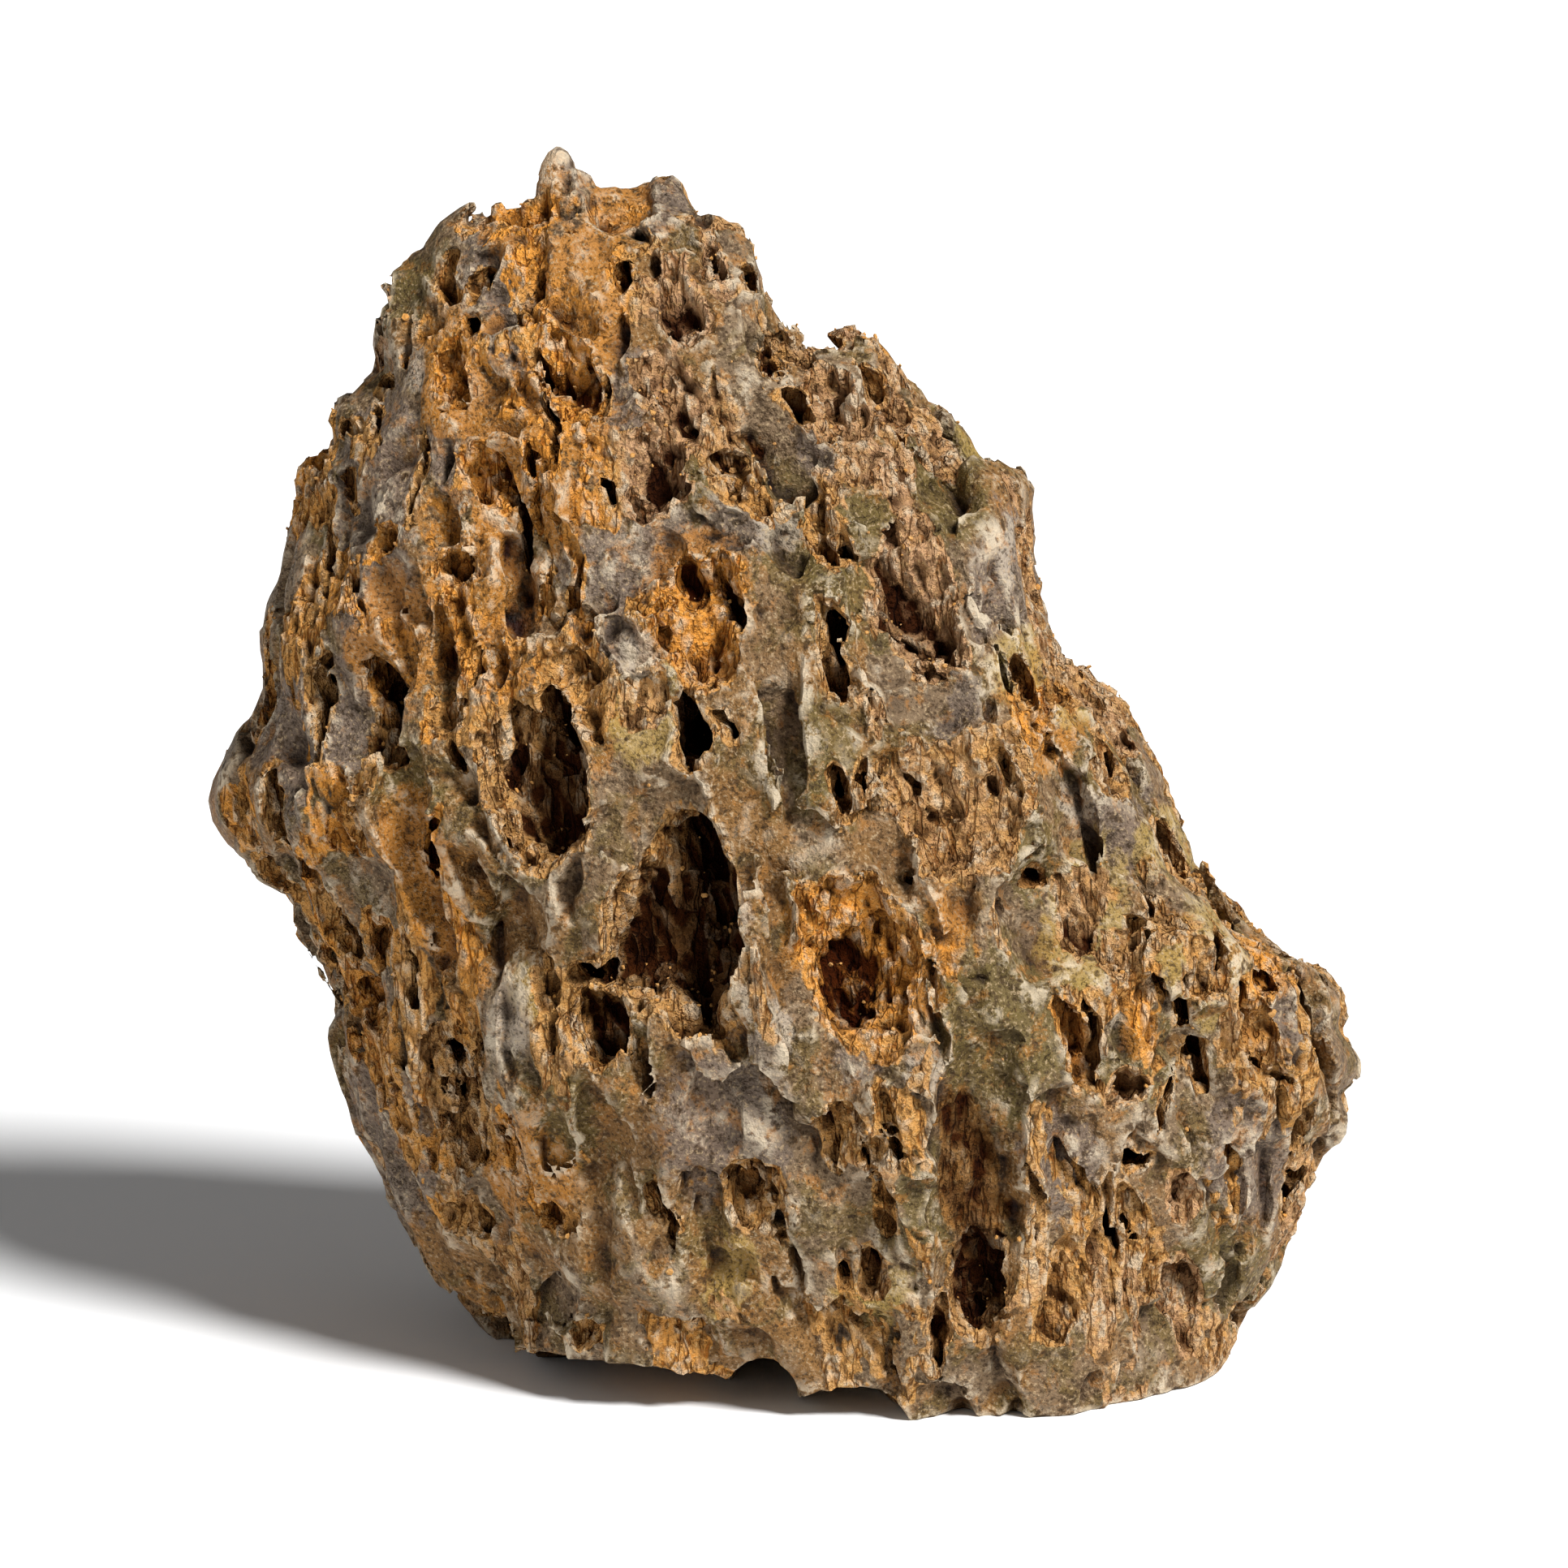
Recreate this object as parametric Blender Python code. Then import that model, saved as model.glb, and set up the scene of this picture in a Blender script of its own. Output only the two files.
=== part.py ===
"""Aquarium dragon stone: one weathered mudstone lump, standing on its broken base.

The stone grew and weathered as one piece, so it is one solid. It is modelled in three steps:
a lump lofted from rings of the front outline, ellipsoid hollows cut out of it all round, and a
flat cut where it rests. Lengths in the tables are millimetres on the front drawing, and the
script turns them into metres.

The front drawing is what the stone shows from its front, 12 degrees above the horizon: u runs
to the right from the middle and v upwards from the foot. A hollow's row says where its mouth is
on that drawing, how wide and tall the mouth is, how far its top leans to the left in degrees,
and how deep it goes.
"""

import math
import random
from collections import namedtuple

import bmesh
import bpy
import numpy as np
from mathutils import Matrix, Vector, noise
from mathutils.bvhtree import BVHTree

MM = 0.001

# How the front drawing lies in space.
EYE_DISTANCE = 1100 * MM
EYE_TILT = math.radians(12)
DRAWING_MIDDLE_V = 98.6
DRAWING_MIDDLE_HEIGHT = 90.5 * MM

# The lump: half its depth at five heights of the drawing, and how full its rings are.
LUMP_HEART = (-4.0, 88.0)
DEPTH_AT_V = (0, 50, 100, 150, 200)
FRONT_DEPTH = (46, 50, 46, 34, 19)
BACK_DEPTH = (51, 49, 44, 33, 20)
FULLNESS = 2.5
RINGS = 44
RING_POINTS = 360
EDGE_SETBACK = 13.0
EDGE_SETBACK_MIDDLE_U = 22.0
CREST_SETBACK = 5.0

# The outline's jags fade this far from the rim, front and back, into a smoother lump.
JAG_REACH = 32.0
JAG_SMOOTHING = 9

# Broad swells on the front and the back, away from the rim.
SWELL_HEIGHT = 7.0
SWELL_LENGTH = 44.0

# Slow waves that bend the lump and its hollows out of true.
WAVE_HEIGHT = 1.5
WAVE_LENGTH = 15.0
WAVES_APART = ((9.3, -1.5, -8.0), (0.0, 0.0, 0.0), (6.3, 11.1, -3.8))

# The hollows round the sides and the back: their rows, which go round a core that leans left,
# and the least and greatest of what chance gives each one.
SIDE_SEED = 5
SIDE_LEVELS = (3, 190)
SIDE_LEVEL_STEP = 10.5
SIDE_RADIUS = 50.0
RAY_START = 400.0
SIDE_SPACING = (8.0, 12.5)
CORE_LEAN = 0.14
SIDE_WIDE = (3.2, 6.8)
SIDE_STRETCH = (1.2, 2.4)
SIDE_DEEP = (1.8, 5.2)
SIDE_SHIFT = 2.5
SIDE_LEAN = 12.0
SIDE_LEAN_SPREAD = 9.0

# Surfaces that face the eye this much belong to the front drawing, and those that are seen
# edge on have shallower hollows.
FRONT_FACING = 0.22
EDGE_FACING = -0.3
EDGE_SHALLOWNESS = 0.55

# Each front hollow faces between the surface and the eye and droops a little, and the depths
# in the tables, which are those below the worn rims, are taken from the uncut lump.
HOLLOW_DROOP = 0.4
RIM_WEAR = 0.8

# A hollow is a ball sunk this share of its height too little to be cut at its middle.
MOUTH_DEPTH = 0.4
MOUTH_SHARE = math.sqrt(1 - MOUTH_DEPTH**2)

# The faceted solid.
HOLLOW_DETAIL = 2
SMALLEST_WIDE = 1.6
SMALLEST_DEEP = 1.2
REMESH_SIZE = 1.3 * MM
FACETS_KEPT = 0.058

STONE_COLOUR = (0.23, 0.15, 0.085, 1.0)

OUTLINE = (
    (-38, 193), (-37, 196), (-35.2, 197.2), (-33.8, 196.6), (-32.5, 195), (-30, 192),
    (-27.5, 190.6), (-24, 189.5), (-21, 190.2), (-20.3, 192), (-19.3, 193), (-17.5, 192),
    (-16, 190.5), (-15, 188), (-13.5, 185), (-12, 186), (-10.8, 186.2), (-9.5, 185),
    (-7.5, 183.5), (-6, 183.3), (-5.3, 182), (-4.4, 177.5), (-2.5, 175.5), (-0.5, 172),
    (2, 170.3), (3.3, 169.5), (4.6, 167.4), (8, 168), (10, 169.2), (12.5, 169.2),
    (15.5, 165.5), (19, 161.2), (20.5, 161.2), (23, 158.6), (24.3, 158.2), (26, 154),
    (28.3, 152.8), (30.5, 149), (33, 148.8), (34.8, 148.2), (36.5, 146), (37.4, 143),
    (37.3, 140), (38.3, 137.5), (38.7, 131), (40, 126), (40.5, 122), (42, 119),
    (43.5, 118.2), (44.8, 118.8), (47.5, 115), (52, 111), (53.2, 109), (55, 104.5),
    (60, 96.5), (61.3, 93), (63, 89), (66, 84), (69.5, 79.5), (71.5, 75.5), (74, 75),
    (78, 72.2), (80, 71.8), (83, 70), (85.3, 66), (86, 64), (84.8, 60.5), (87.9, 55),
    (87.5, 53), (84.8, 51), (86.4, 46.5), (85.5, 44.3), (83, 43), (81, 37), (78.5, 30),
    (75, 23), (70, 16.5), (68, 12.5), (67.8, 8), (67.5, 4), (64, -30), (-40, -30),
    (-44.5, 14), (-49, 18.5), (-52, 21.5), (-55, 24), (-56.5, 27.5), (-61, 35.5),
    (-63, 41), (-65.2, 44.5), (-65.5, 48), (-68.5, 56.5), (-69, 60), (-67.3, 64),
    (-68.5, 67), (-73, 74.5), (-75, 78), (-75, 81.5), (-77.5, 82.5), (-81, 84.5),
    (-82, 87.5), (-84, 88.2), (-87.5, 93.5), (-88, 96), (-87, 100), (-83.5, 106.5),
    (-80.5, 110), (-79.5, 113), (-80.3, 117), (-81.2, 122), (-80, 126), (-77, 129.5),
    (-76.5, 133), (-74.7, 139), (-74.5, 144), (-74, 147.5), (-72, 149), (-70.8, 150.4),
    (-69.4, 149.5), (-69, 153.5), (-70, 155), (-69, 157), (-67, 157.5), (-63.7, 161.5),
    (-63.2, 169.5), (-63.5, 171.5), (-62, 175), (-60, 178.3), (-58, 180), (-54, 181.3),
    (-52.5, 184), (-50, 186), (-48, 187.6), (-46.5, 187), (-45.2, 188), (-44.2, 190.5),
    (-43, 191.2), (-41.5, 190.6), (-38.8, 191.8),
)

Hollow = namedtuple("Hollow", "u v wide tall lean deep")

VALLEYS = [
    Hollow(*row)
    for row in (
        (-59, 92, 4.5, 28, 5, 8.8),
        (-42, 138, 7, 17, 14, 4.4),
        (-17, 84, 8, 19, 5, 7.7),
        (6, 66, 8, 22, 8, 6.6),
        (31, 42, 8.5, 32, 0, 8.8),
        (46, 78, 12, 12, 10, 5.5),
        (-50, 44, 6, 19, 3, 5.5),
        (-66, 113, 8, 11, 10, 6.6),
        (18, 128, 8, 14, 14, 4.4),
        (-19, 30, 3, 16, 20, 3.3),
        (-4, 158, 4, 18, 28, 3.3),
        (44, 38, 2.5, 20, -4, 5.5),
        (64, 54, 4, 13, 15, 4.4),
        (13, 28, 6, 12, 12, 3.3),
    )
]

CROWN = [
    Hollow(*row)
    for row in (
        (-32.6, 192, 0.9, 3.2, 18, 3.9),
        (-40.5, 187, 5.2, 4.3, 5, 3.4),
        (-48.3, 184.3, 2.6, 2.6, 20, 2.3),
        (-33, 188, 3.2, 3, 0, 1.8),
        (-46, 179, 2.4, 3.8, -30, 3.1),
        (-25, 187.5, 4.8, 3.8, 15, 3.1),
        (-17, 185.5, 4.2, 5.5, 15, 1.6),
        (-24.3, 177.5, 1.7, 4.2, 15, 4.7),
        (-21.5, 180.7, 3, 1.5, 20, 4.7),
        (-16.5, 174, 4.8, 7.8, 28, 4.7),
        (-10.2, 177.5, 1.9, 4.5, 15, 2.3),
        (-6.4, 176.5, 1.9, 2.2, 0, 8),
        (-5, 170, 1.8, 7.5, 14, 4.7),
        (-58, 176, 4.2, 5.5, -20, 2.5),
        (-51.5, 175.5, 2.1, 3.6, 30, 4.7),
        (-47, 175.5, 1.6, 3, -25, 3.1),
        (-48.5, 168.7, 2.3, 2.6, 40, 6.2),
        (-58.2, 168, 1.5, 4.6, 6, 3.7),
        (-54, 171, 3, 4.5, 10, 1.6),
        (-51, 163, 3, 4.8, -15, 4),
        (-43.5, 172.5, 3.6, 5, 20, 2.5),
        (-38.9, 173, 1.4, 5, 0, 3.1),
        (-31.5, 173.8, 5.2, 6.2, 35, 1.8),
        (-32.5, 161, 4.2, 7.6, 22, 4),
        (-40, 160, 2.6, 6.4, 20, 3.1),
        (-36.6, 157.5, 0.9, 6, 17, 5.4),
        (-46.5, 161, 3.2, 5.5, -10, 2.5),
        (-50, 156.4, 4, 1.9, 0, 2.3),
        (-24, 159, 3.2, 5, 10, 2.5),
        (-27.5, 158, 1.2, 3.2, 0, 1.8),
        (-17, 158, 3.9, 8.6, 25, 4.3),
        (-12, 164.7, 4.6, 3.8, 0, 1.7),
        (-43, 157, 2.2, 1.9, 0, 2.3),
        (-62, 157, 1.5, 3.2, 20, 2.3),
        (-66.5, 154, 2.6, 3.4, 10, 3.1),
        (-61, 160.6, 2, 1.5, 20, 6.2),
    )
]

RIGHT_SHOULDER = [
    Hollow(*row)
    for row in (
        (-1, 168, 1.8, 5, 30, 3.1),
        (2.5, 165, 2, 3, 30, 3.1),
        (-1, 163.6, 1.3, 2.2, 20, 6.2),
        (0.8, 158, 3, 1.8, -20, 7),
        (-7.3, 156.5, 3, 6, 38, 4),
        (-3.8, 153.5, 1.3, 2.4, 40, 2.5),
        (8, 158, 4.8, 6.6, 15, 3.1),
        (14.5, 160, 1.3, 4, 20, 6.2),
        (17.6, 156.5, 4, 4.2, 20, 3.1),
        (16.3, 152.3, 1.2, 2, 10, 4.7),
        (11.5, 166.6, 2.6, 3, 10, 1.6),
        (22, 158.4, 2.6, 2.2, 30, 1.6),
        (5.5, 151.5, 4, 4.2, -10, 2.5),
        (-7, 149, 4, 2, 10, 3.7),
        (20, 151.3, 3.4, 1.6, 0, 1.3),
        (24.5, 155.2, 3, 1.6, 30, 2.3),
        (28, 151.8, 2.6, 2.4, 30, 1.3),
        (25.7, 144.8, 5.8, 5.4, 25, 7),
        (17.5, 148, 2.6, 3.4, 30, 3.1),
        (34.6, 144.5, 2.2, 3.8, 0, 1.6),
        (31.8, 128, 3.4, 8.5, 4, 2.3),
        (36.8, 132.5, 1.6, 4.8, 5, 1.7),
        (37.3, 123, 2.2, 4.2, 12, 1.7),
        (24.8, 113, 5.2, 6.6, 10, 2.8),
        (31.6, 110.5, 1.9, 3.8, -20, 2.8),
        (36.6, 113.5, 2.4, 3.6, 10, 2.3),
        (43.3, 114, 3, 2.6, 30, 1.8),
        (40, 108.5, 3.2, 3, 20, 2.3),
        (44.6, 105, 2.6, 4.4, 22, 2.5),
        (50.5, 103, 2.2, 6.4, 14, 3.1),
        (56.6, 97.5, 1.8, 4, 22, 1.7),
    )
]

LEFT_FLANK = [
    Hollow(*row)
    for row in (
        (-63, 145, 3.6, 7.8, -20, 2.8),
        (-55.6, 151, 0.9, 6, 5, 7.8),
        (-52, 148, 1.5, 4, 0, 2.5),
        (-57.4, 142.5, 0.7, 3, 0, 3.9),
        (-47, 146, 2.3, 7, 25, 4),
        (-45.3, 137.5, 1.9, 7.5, 14, 2.5),
        (-42.6, 135, 0.9, 5.4, 3, 7),
        (-40.5, 138.5, 1.4, 6, 6, 3.7),
        (-39.3, 146, 2.4, 6.5, 10, 4),
        (-35.4, 140.5, 0.9, 6.4, 15, 7),
        (-36, 148.5, 2, 4.4, 10, 3.1),
        (-34.6, 131.5, 1.5, 7, 10, 3.1),
        (-38, 127.5, 1.4, 7, 12, 6.2),
        (-53, 139, 3.2, 4.5, -5, 4.7),
        (-51, 131.5, 2.9, 2.4, 30, 4),
        (-62.5, 136.6, 3.4, 2.4, -30, 2.3),
        (-61.3, 129.6, 3.8, 4.4, -10, 1.7),
        (-59.3, 120, 2.8, 7.6, 14, 2.3),
        (-71, 136, 1.4, 10, 0, 7.8),
        (-72.5, 145.5, 1.4, 3.2, 0, 3.9),
        (-67.4, 141, 1.5, 9, 3, 2.3),
        (-66.3, 130.5, 1.5, 3.6, -5, 3.1),
        (-68.5, 122.4, 3, 2.2, -30, 1.8),
        (-77.5, 125.5, 2.3, 3.4, -10, 1.8),
        (-78, 117.5, 1.8, 4.5, 0, 2.3),
        (-63.4, 112, 2.7, 8, 15, 13.8),
        (-71, 113.5, 2.2, 6, 5, 8),
        (-74.6, 105.5, 3.1, 9.5, 12, 2.8),
        (-52.5, 118, 2.4, 6.5, 5, 2.3),
        (-47.8, 115, 0.7, 8, 0, 4.7),
        (-44.6, 119.5, 2, 7.2, 14, 2.8),
        (-41.3, 120, 1.9, 6.4, 15, 4),
        (-34, 117, 3.8, 3.8, 0, 2.5),
        (-30, 112, 2.6, 6, 20, 2.3),
        (-31, 124, 2.4, 3.6, 20, 1.8),
        (-52, 110, 3.4, 3.8, 20, 2.8),
        (-51.3, 103.3, 1.3, 2.8, 24, 9.2),
        (-36, 107, 3.6, 6.6, 22, 10.3),
        (-39, 100, 7.3, 12, 12, 8),
        (-40, 92, 2, 3, 30, 8),
        (-79.6, 94.5, 2.3, 5, 5, 10.3),
        (-84.7, 97, 2.6, 7, 0, 2.3),
        (-79, 86.5, 3, 3, 20, 3.1),
        (-67.3, 92, 2.6, 5, 12, 3.4),
        (-65.4, 94, 0.9, 5.5, 14, 6.2),
        (-65.3, 101, 3, 3.2, 10, 3.1),
        (-69.6, 78, 3.8, 6.2, 24, 3.1),
        (-63, 74, 2.6, 5, 0, 4),
        (-54.8, 87, 2.5, 7, -16, 7.8),
        (-57, 98.5, 3, 5.6, 5, 2.5),
        (-61.4, 93, 1.4, 7, 3, 2.3),
        (-58, 72, 0.9, 9, 4, 6.2),
    )
]

MIDDLE = [
    Hollow(*row)
    for row in (
        (-29, 133, 3.8, 7.8, 20, 2.8),
        (-31, 145.5, 2.2, 3.6, -30, 2.3),
        (-20.3, 147, 5.2, 6.6, 20, 4),
        (-26.8, 142, 0.8, 3, 32, 4.7),
        (-19.5, 134.5, 4, 5.6, 26, 2.8),
        (-11.5, 141.5, 3.8, 5.4, 10, 2.5),
        (-8.3, 137, 2.8, 2.6, 20, 1.8),
        (-5, 143.5, 2, 4.6, 28, 2.3),
        (-12.5, 130, 5.4, 4.4, 8, 4.7),
        (-12.3, 121.5, 5.2, 7.6, 8, 5.6),
        (-8.3, 126, 1.3, 4.6, 28, 7),
        (-0.8, 121, 4.3, 11, -5, 2.3),
        (2.6, 139, 2.7, 6.8, 5, 2.5),
        (6.2, 139, 2, 7, 10, 4),
        (8.8, 138, 0.8, 5, 14, 6.2),
        (7, 120, 2.3, 7.4, 12, 14.9),
        (4.9, 126.5, 0.9, 2.6, 5, 6.9),
        (13.4, 142, 3.6, 4.4, 10, 2.5),
        (11, 130, 2.2, 8, -8, 1.8),
        (11.5, 122, 0.7, 2, 20, 4.7),
        (20.3, 128, 7, 11.6, 14, 6.5),
        (20.3, 138.3, 5, 2.6, 30, 2.5),
        (25.6, 128, 1.8, 6, 0, 3.7),
        (14.6, 110.6, 2.7, 5, 12, 6.2),
        (-21.6, 112, 3.3, 4.4, 5, 1.3),
        (-24, 121, 2.8, 5, 30, 2.5),
        (-18.6, 119.8, 2.8, 2.6, 0, 1.6),
        (-15, 105.8, 2.7, 8, 6, 16.1),
        (-9.4, 108, 1.5, 4, 30, 6.2),
        (-25.5, 101, 4.4, 7.2, 5, 1.7),
        (-26, 91, 5.2, 4, -30, 1.7),
        (-15.5, 86.5, 3.8, 8.4, 8, 14.9),
        (-17.5, 77, 8.4, 13.5, 8, 9),
        (-10.8, 74.5, 2, 8.4, 5, 9.2),
        (-24.3, 80, 2.4, 5.6, 14, 9.2),
        (-14.6, 67.6, 3.8, 4, 10, 1.6),
        (-22.5, 68, 3.2, 5, 15, 4.7),
        (-31, 69.4, 3, 2, -15, 8),
        (-26.6, 63, 1.6, 5.4, 0, 9.2),
        (-29, 57.8, 3.6, 3.8, 0, 4.7),
        (4, 91, 5, 6, -10, 1.7),
        (-5.5, 96, 4.6, 8, 14, 1.8),
        (1.2, 104, 4, 6, 0, 1.7),
        (-6, 83, 2, 7, 0, 1.7),
        (-0.6, 82, 2.6, 6, 0, 2.5),
        (8.8, 96.2, 1.4, 4, 8, 9.2),
        (12.6, 98, 1, 3, 5, 6.2),
        (17.4, 93, 3.6, 4.6, 28, 5.6),
        (28, 97, 7.5, 10, 12, 3),
        (20.6, 97, 1, 8, 22, 3.9),
        (33.4, 99.5, 1.2, 7.6, 22, 3.9),
        (24.5, 86.5, 2.8, 4, 25, 1.7),
        (36.5, 104.5, 2.2, 6.5, 14, 1.8),
        (18.5, 85, 2.6, 4, 15, 1.8),
        (11, 70, 7.4, 14, 9, 7.5),
        (5, 60, 4.6, 13, 8, 6.2),
        (20.8, 79, 2.4, 4.6, 0, 1.7),
        (24.5, 72.6, 2.7, 3.8, 20, 2.5),
    )
]

LOWER_RIGHT = [
    Hollow(*row)
    for row in (
        (45, 97.3, 3.4, 2.4, 0, 1.6),
        (50.6, 91, 3.2, 5.4, 30, 2.3),
        (38.6, 91.5, 3.6, 3.6, 10, 1.8),
        (36.8, 86.8, 2.8, 2.6, 30, 1.8),
        (38.6, 84, 2.1, 1.9, 10, 7.8),
        (40.4, 76.5, 2.8, 5, 6, 6.9),
        (46.2, 79.5, 6.2, 8.6, 6, 6.5),
        (53.4, 74, 3.6, 5, 0, 5.3),
        (54, 77.6, 2.6, 1.3, 0, 6.9),
        (60, 88, 2.4, 5.6, 32, 3.1),
        (65.4, 70, 4, 5.4, 8, 3.1),
        (66.6, 69, 0.6, 5, 5, 3.7),
        (71.6, 67, 0.6, 5, 4, 3.7),
        (74, 60, 3, 6.4, 25, 3.1),
        (73.4, 70.4, 2, 3.4, 0, 1.8),
        (77.6, 62, 2.2, 6, 6, 3.4),
        (82.4, 67, 2.4, 4.2, 10, 1.8),
        (74, 53, 0.8, 5, 48, 3.7),
        (52.6, 60, 2.7, 5.4, 6, 3.1),
        (56.8, 62, 1.6, 4.6, -20, 2.5),
        (44.4, 58.4, 2.1, 5.4, 10, 3.7),
        (47.8, 60, 0.9, 6.4, 0, 3.7),
        (43, 42, 1.7, 9.4, -6, 6.8),
        (62.3, 61.4, 1.4, 3.4, 18, 9.2),
        (64, 53.4, 1.7, 5.4, 16, 8),
        (58.8, 49.6, 1.3, 3.2, -25, 7.8),
        (55, 40.7, 2, 1.9, 0, 10.3),
        (53, 50.5, 3.4, 2.6, -30, 2.3),
        (71.6, 43, 4.6, 8, 0, 2.6),
        (73, 30.6, 4.2, 6, -8, 2.6),
        (80, 46, 2.4, 4.2, 0, 2.5),
        (78.5, 36.5, 1.7, 3.6, -10, 1.8),
        (62.3, 34.6, 3.6, 5.2, 8, 1.8),
        (61.4, 18, 3.4, 9.4, 12, 2.3),
        (68, 23, 3, 6.6, -5, 2.3),
        (70, 17, 1.6, 4, -35, 1.8),
        (43.6, 21.6, 4, 8.4, -10, 1.8),
        (54.4, 31.6, 2.6, 5, 12, 2.8),
        (50, 30, 0.9, 8, 6, 6.2),
        (53, 11, 2.6, 5.8, 0, 2.5),
        (32.5, 58, 6.4, 9.6, 0, 4.7),
        (31, 39.5, 6, 8, 0, 3.9),
        (30.6, 20.5, 5.4, 9, 5, 7.8),
        (34, 5.5, 3.4, 4, 0, 2.3),
        (29.5, 71.8, 3.4, 6.4, 0, 1.8),
        (36.5, 74, 2.2, 6.6, 18, 2.3),
        (48.4, 6.4, 1.6, 3.8, -25, 4),
        (41.5, 6.5, 3.2, 5.4, 0, 1.8),
    )
]

LOWER_LEFT = [
    Hollow(*row)
    for row in (
        (-65, 60.5, 3, 5, 0, 2.3),
        (-60.6, 44, 2.5, 9.6, 14, 1.8),
        (-53.5, 27.5, 2.6, 8.6, 38, 1.8),
        (-52, 48.5, 5.2, 12.4, 4, 7),
        (-51.8, 57, 2.9, 2.6, 0, 10.3),
        (-53.8, 51, 0.9, 2.2, 0, 7.8),
        (-46.6, 48, 1.4, 13.5, 3, 6.2),
        (-58.6, 58, 1.5, 4.4, -10, 3.7),
        (-50, 32.6, 2.6, 3.4, 0, 2.8),
        (-46, 30.6, 1.6, 4.6, 8, 2.5),
        (-48.4, 30.6, 0.7, 4.6, 0, 4.7),
        (-43.7, 22.4, 0.9, 4, 14, 6.2),
        (-47, 19.6, 2.3, 4.6, 18, 2.3),
        (-41.5, 42, 1.6, 8.6, 5, 1.8),
        (-34.5, 31, 3.3, 3.2, 40, 1.3),
        (-35.4, 44.6, 3.4, 7.4, 0, 1.6),
        (-27, 44.6, 3.6, 9, 0, 1.7),
        (-36, 20.6, 4.6, 5.6, 5, 1.7),
        (-37, 68, 2, 4.6, 5, 2.5),
        (-35.6, 60.4, 1.6, 3.8, 5, 2.8),
        (-47.6, 84, 2, 5, 14, 2.5),
        (-52.6, 74, 1.9, 4.6, 4, 1.8),
        (-40.6, 78, 4.6, 6.6, 0, 1.7),
        (-42.6, 60, 1.9, 7.4, 0, 1.7),
        (-18, 54, 5.2, 5.4, 24, 1.8),
        (-9.6, 48, 4.6, 7.4, 6, 1.8),
        (-4, 34.6, 5.6, 6.8, 6, 2.5),
        (-6, 23.6, 3.8, 3, 0, 1.3),
        (-8.6, 60.6, 2.7, 5, 0, 1.8),
        (-13.5, 34.5, 2.2, 5.6, 0, 1.7),
        (-22.6, 21, 5.4, 9, 12, 1.7),
        (-18, 31.6, 1.3, 6.4, 24, 4.7),
        (10.2, 43.6, 3, 6.8, 14, 3.1),
        (7.6, 41, 0.7, 5, 14, 5.3),
        (11.8, 41, 0.6, 4, 10, 4.7),
        (13, 61.6, 2.3, 4.8, 0, 1.8),
        (18.8, 65.6, 2, 6.6, 0, 1.7),
        (15.8, 47, 2, 6.8, 4, 3.1),
        (22, 33, 3.4, 5.8, 20, 1.8),
        (14.6, 31.6, 2.2, 5.6, 16, 3.1),
        (9.3, 22.6, 1.5, 2.5, 12, 7.8),
        (13.3, 22.4, 2.2, 3.6, -8, 4.7),
        (16, 10, 4, 6, 0, 1.7),
        (24, 13, 2, 7, 8, 2.5),
        (24.8, 4, 2.4, 2.4, 0, 3.1),
        (-31, 13.6, 3.6, 2.6, 10, 6.2),
    )
]

# Ellipsoids under the raised edges of the base: middle and half sizes, in millimetres.
UNDERCUTS = (
    ((-36, -46, -6), (42, 46, 15)),
    ((-3, -36, 1), (6, 32, 8)),
    ((9, -46, -1), (10, 26, 6)),
    ((26.6, -46, -1), (3, 14, 5)),
    ((48, -44, -1), (3, 12, 5)),
    ((70, 20, -8), (30, 24, 20)),
    ((-40, 50, -8), (26, 26, 18)),
    ((30, 56, -4), (24, 22, 12)),
)

EYE_BACK = Vector((0, -math.cos(EYE_TILT), math.sin(EYE_TILT)))
EYE_UP = Vector((0, math.sin(EYE_TILT), math.cos(EYE_TILT)))
DRAWING_MIDDLE = Vector((0, 0, DRAWING_MIDDLE_HEIGHT))
EYE = DRAWING_MIDDLE + EYE_BACK * EYE_DISTANCE


def sight(u, v):
    """The direction from the eye through a point of the front drawing."""
    way = Vector((u * MM, 0, 0)) + EYE_UP * ((v - DRAWING_MIDDLE_V) * MM) - EYE_BACK * EYE_DISTANCE
    return way.normalized()


def placed(u, v, depth):
    """The point in space that the drawing shows at u, v and that lies depth behind the middle."""
    way = sight(u, v)
    return EYE + way * ((depth * MM - EYE.y) / way.y)


def waved(point):
    """A point moved by slow waves, which bend the stone and its hollows alike."""
    spot = point / (WAVE_LENGTH * MM)
    wave = Vector([noise.noise(spot + Vector(apart)) for apart in WAVES_APART])
    return point + wave * (WAVE_HEIGHT * MM)


def even_outline(count):
    """The outline's points, spread evenly along it, and the same with its jags smoothed away."""
    corners = np.array(OUTLINE + OUTLINE[:1], float)
    along = np.concatenate([[0], np.cumsum(np.hypot(*np.diff(corners, axis=0).T))])
    steps = np.linspace(0, along[-1], count, endpoint=False)
    jagged = np.stack([np.interp(steps, along, corners[:, i]) for i in (0, 1)], axis=1)
    smooth = jagged
    for _ in range(JAG_SMOOTHING):
        smooth = (np.roll(smooth, 1, axis=0) + 2 * smooth + np.roll(smooth, -1, axis=0)) / 4
    return jagged, smooth


def lump_depth(u, v, size, swell, front):
    """How far behind the middle a point of the lump lies, in millimetres."""
    half = np.interp(v, DEPTH_AT_V, FRONT_DEPTH if front else BACK_DEPTH)
    swells = noise.noise(Vector((u, v, 0 if front else 300)) / SWELL_LENGTH) * SWELL_HEIGHT
    reach = half * swell + swells * (1 - size**4)
    setback = EDGE_SETBACK * ((u - EDGE_SETBACK_MIDDLE_U) / 100) ** 2 + CREST_SETBACK * (v / 200) ** 2
    return setback + (-reach if front else reach)


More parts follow.
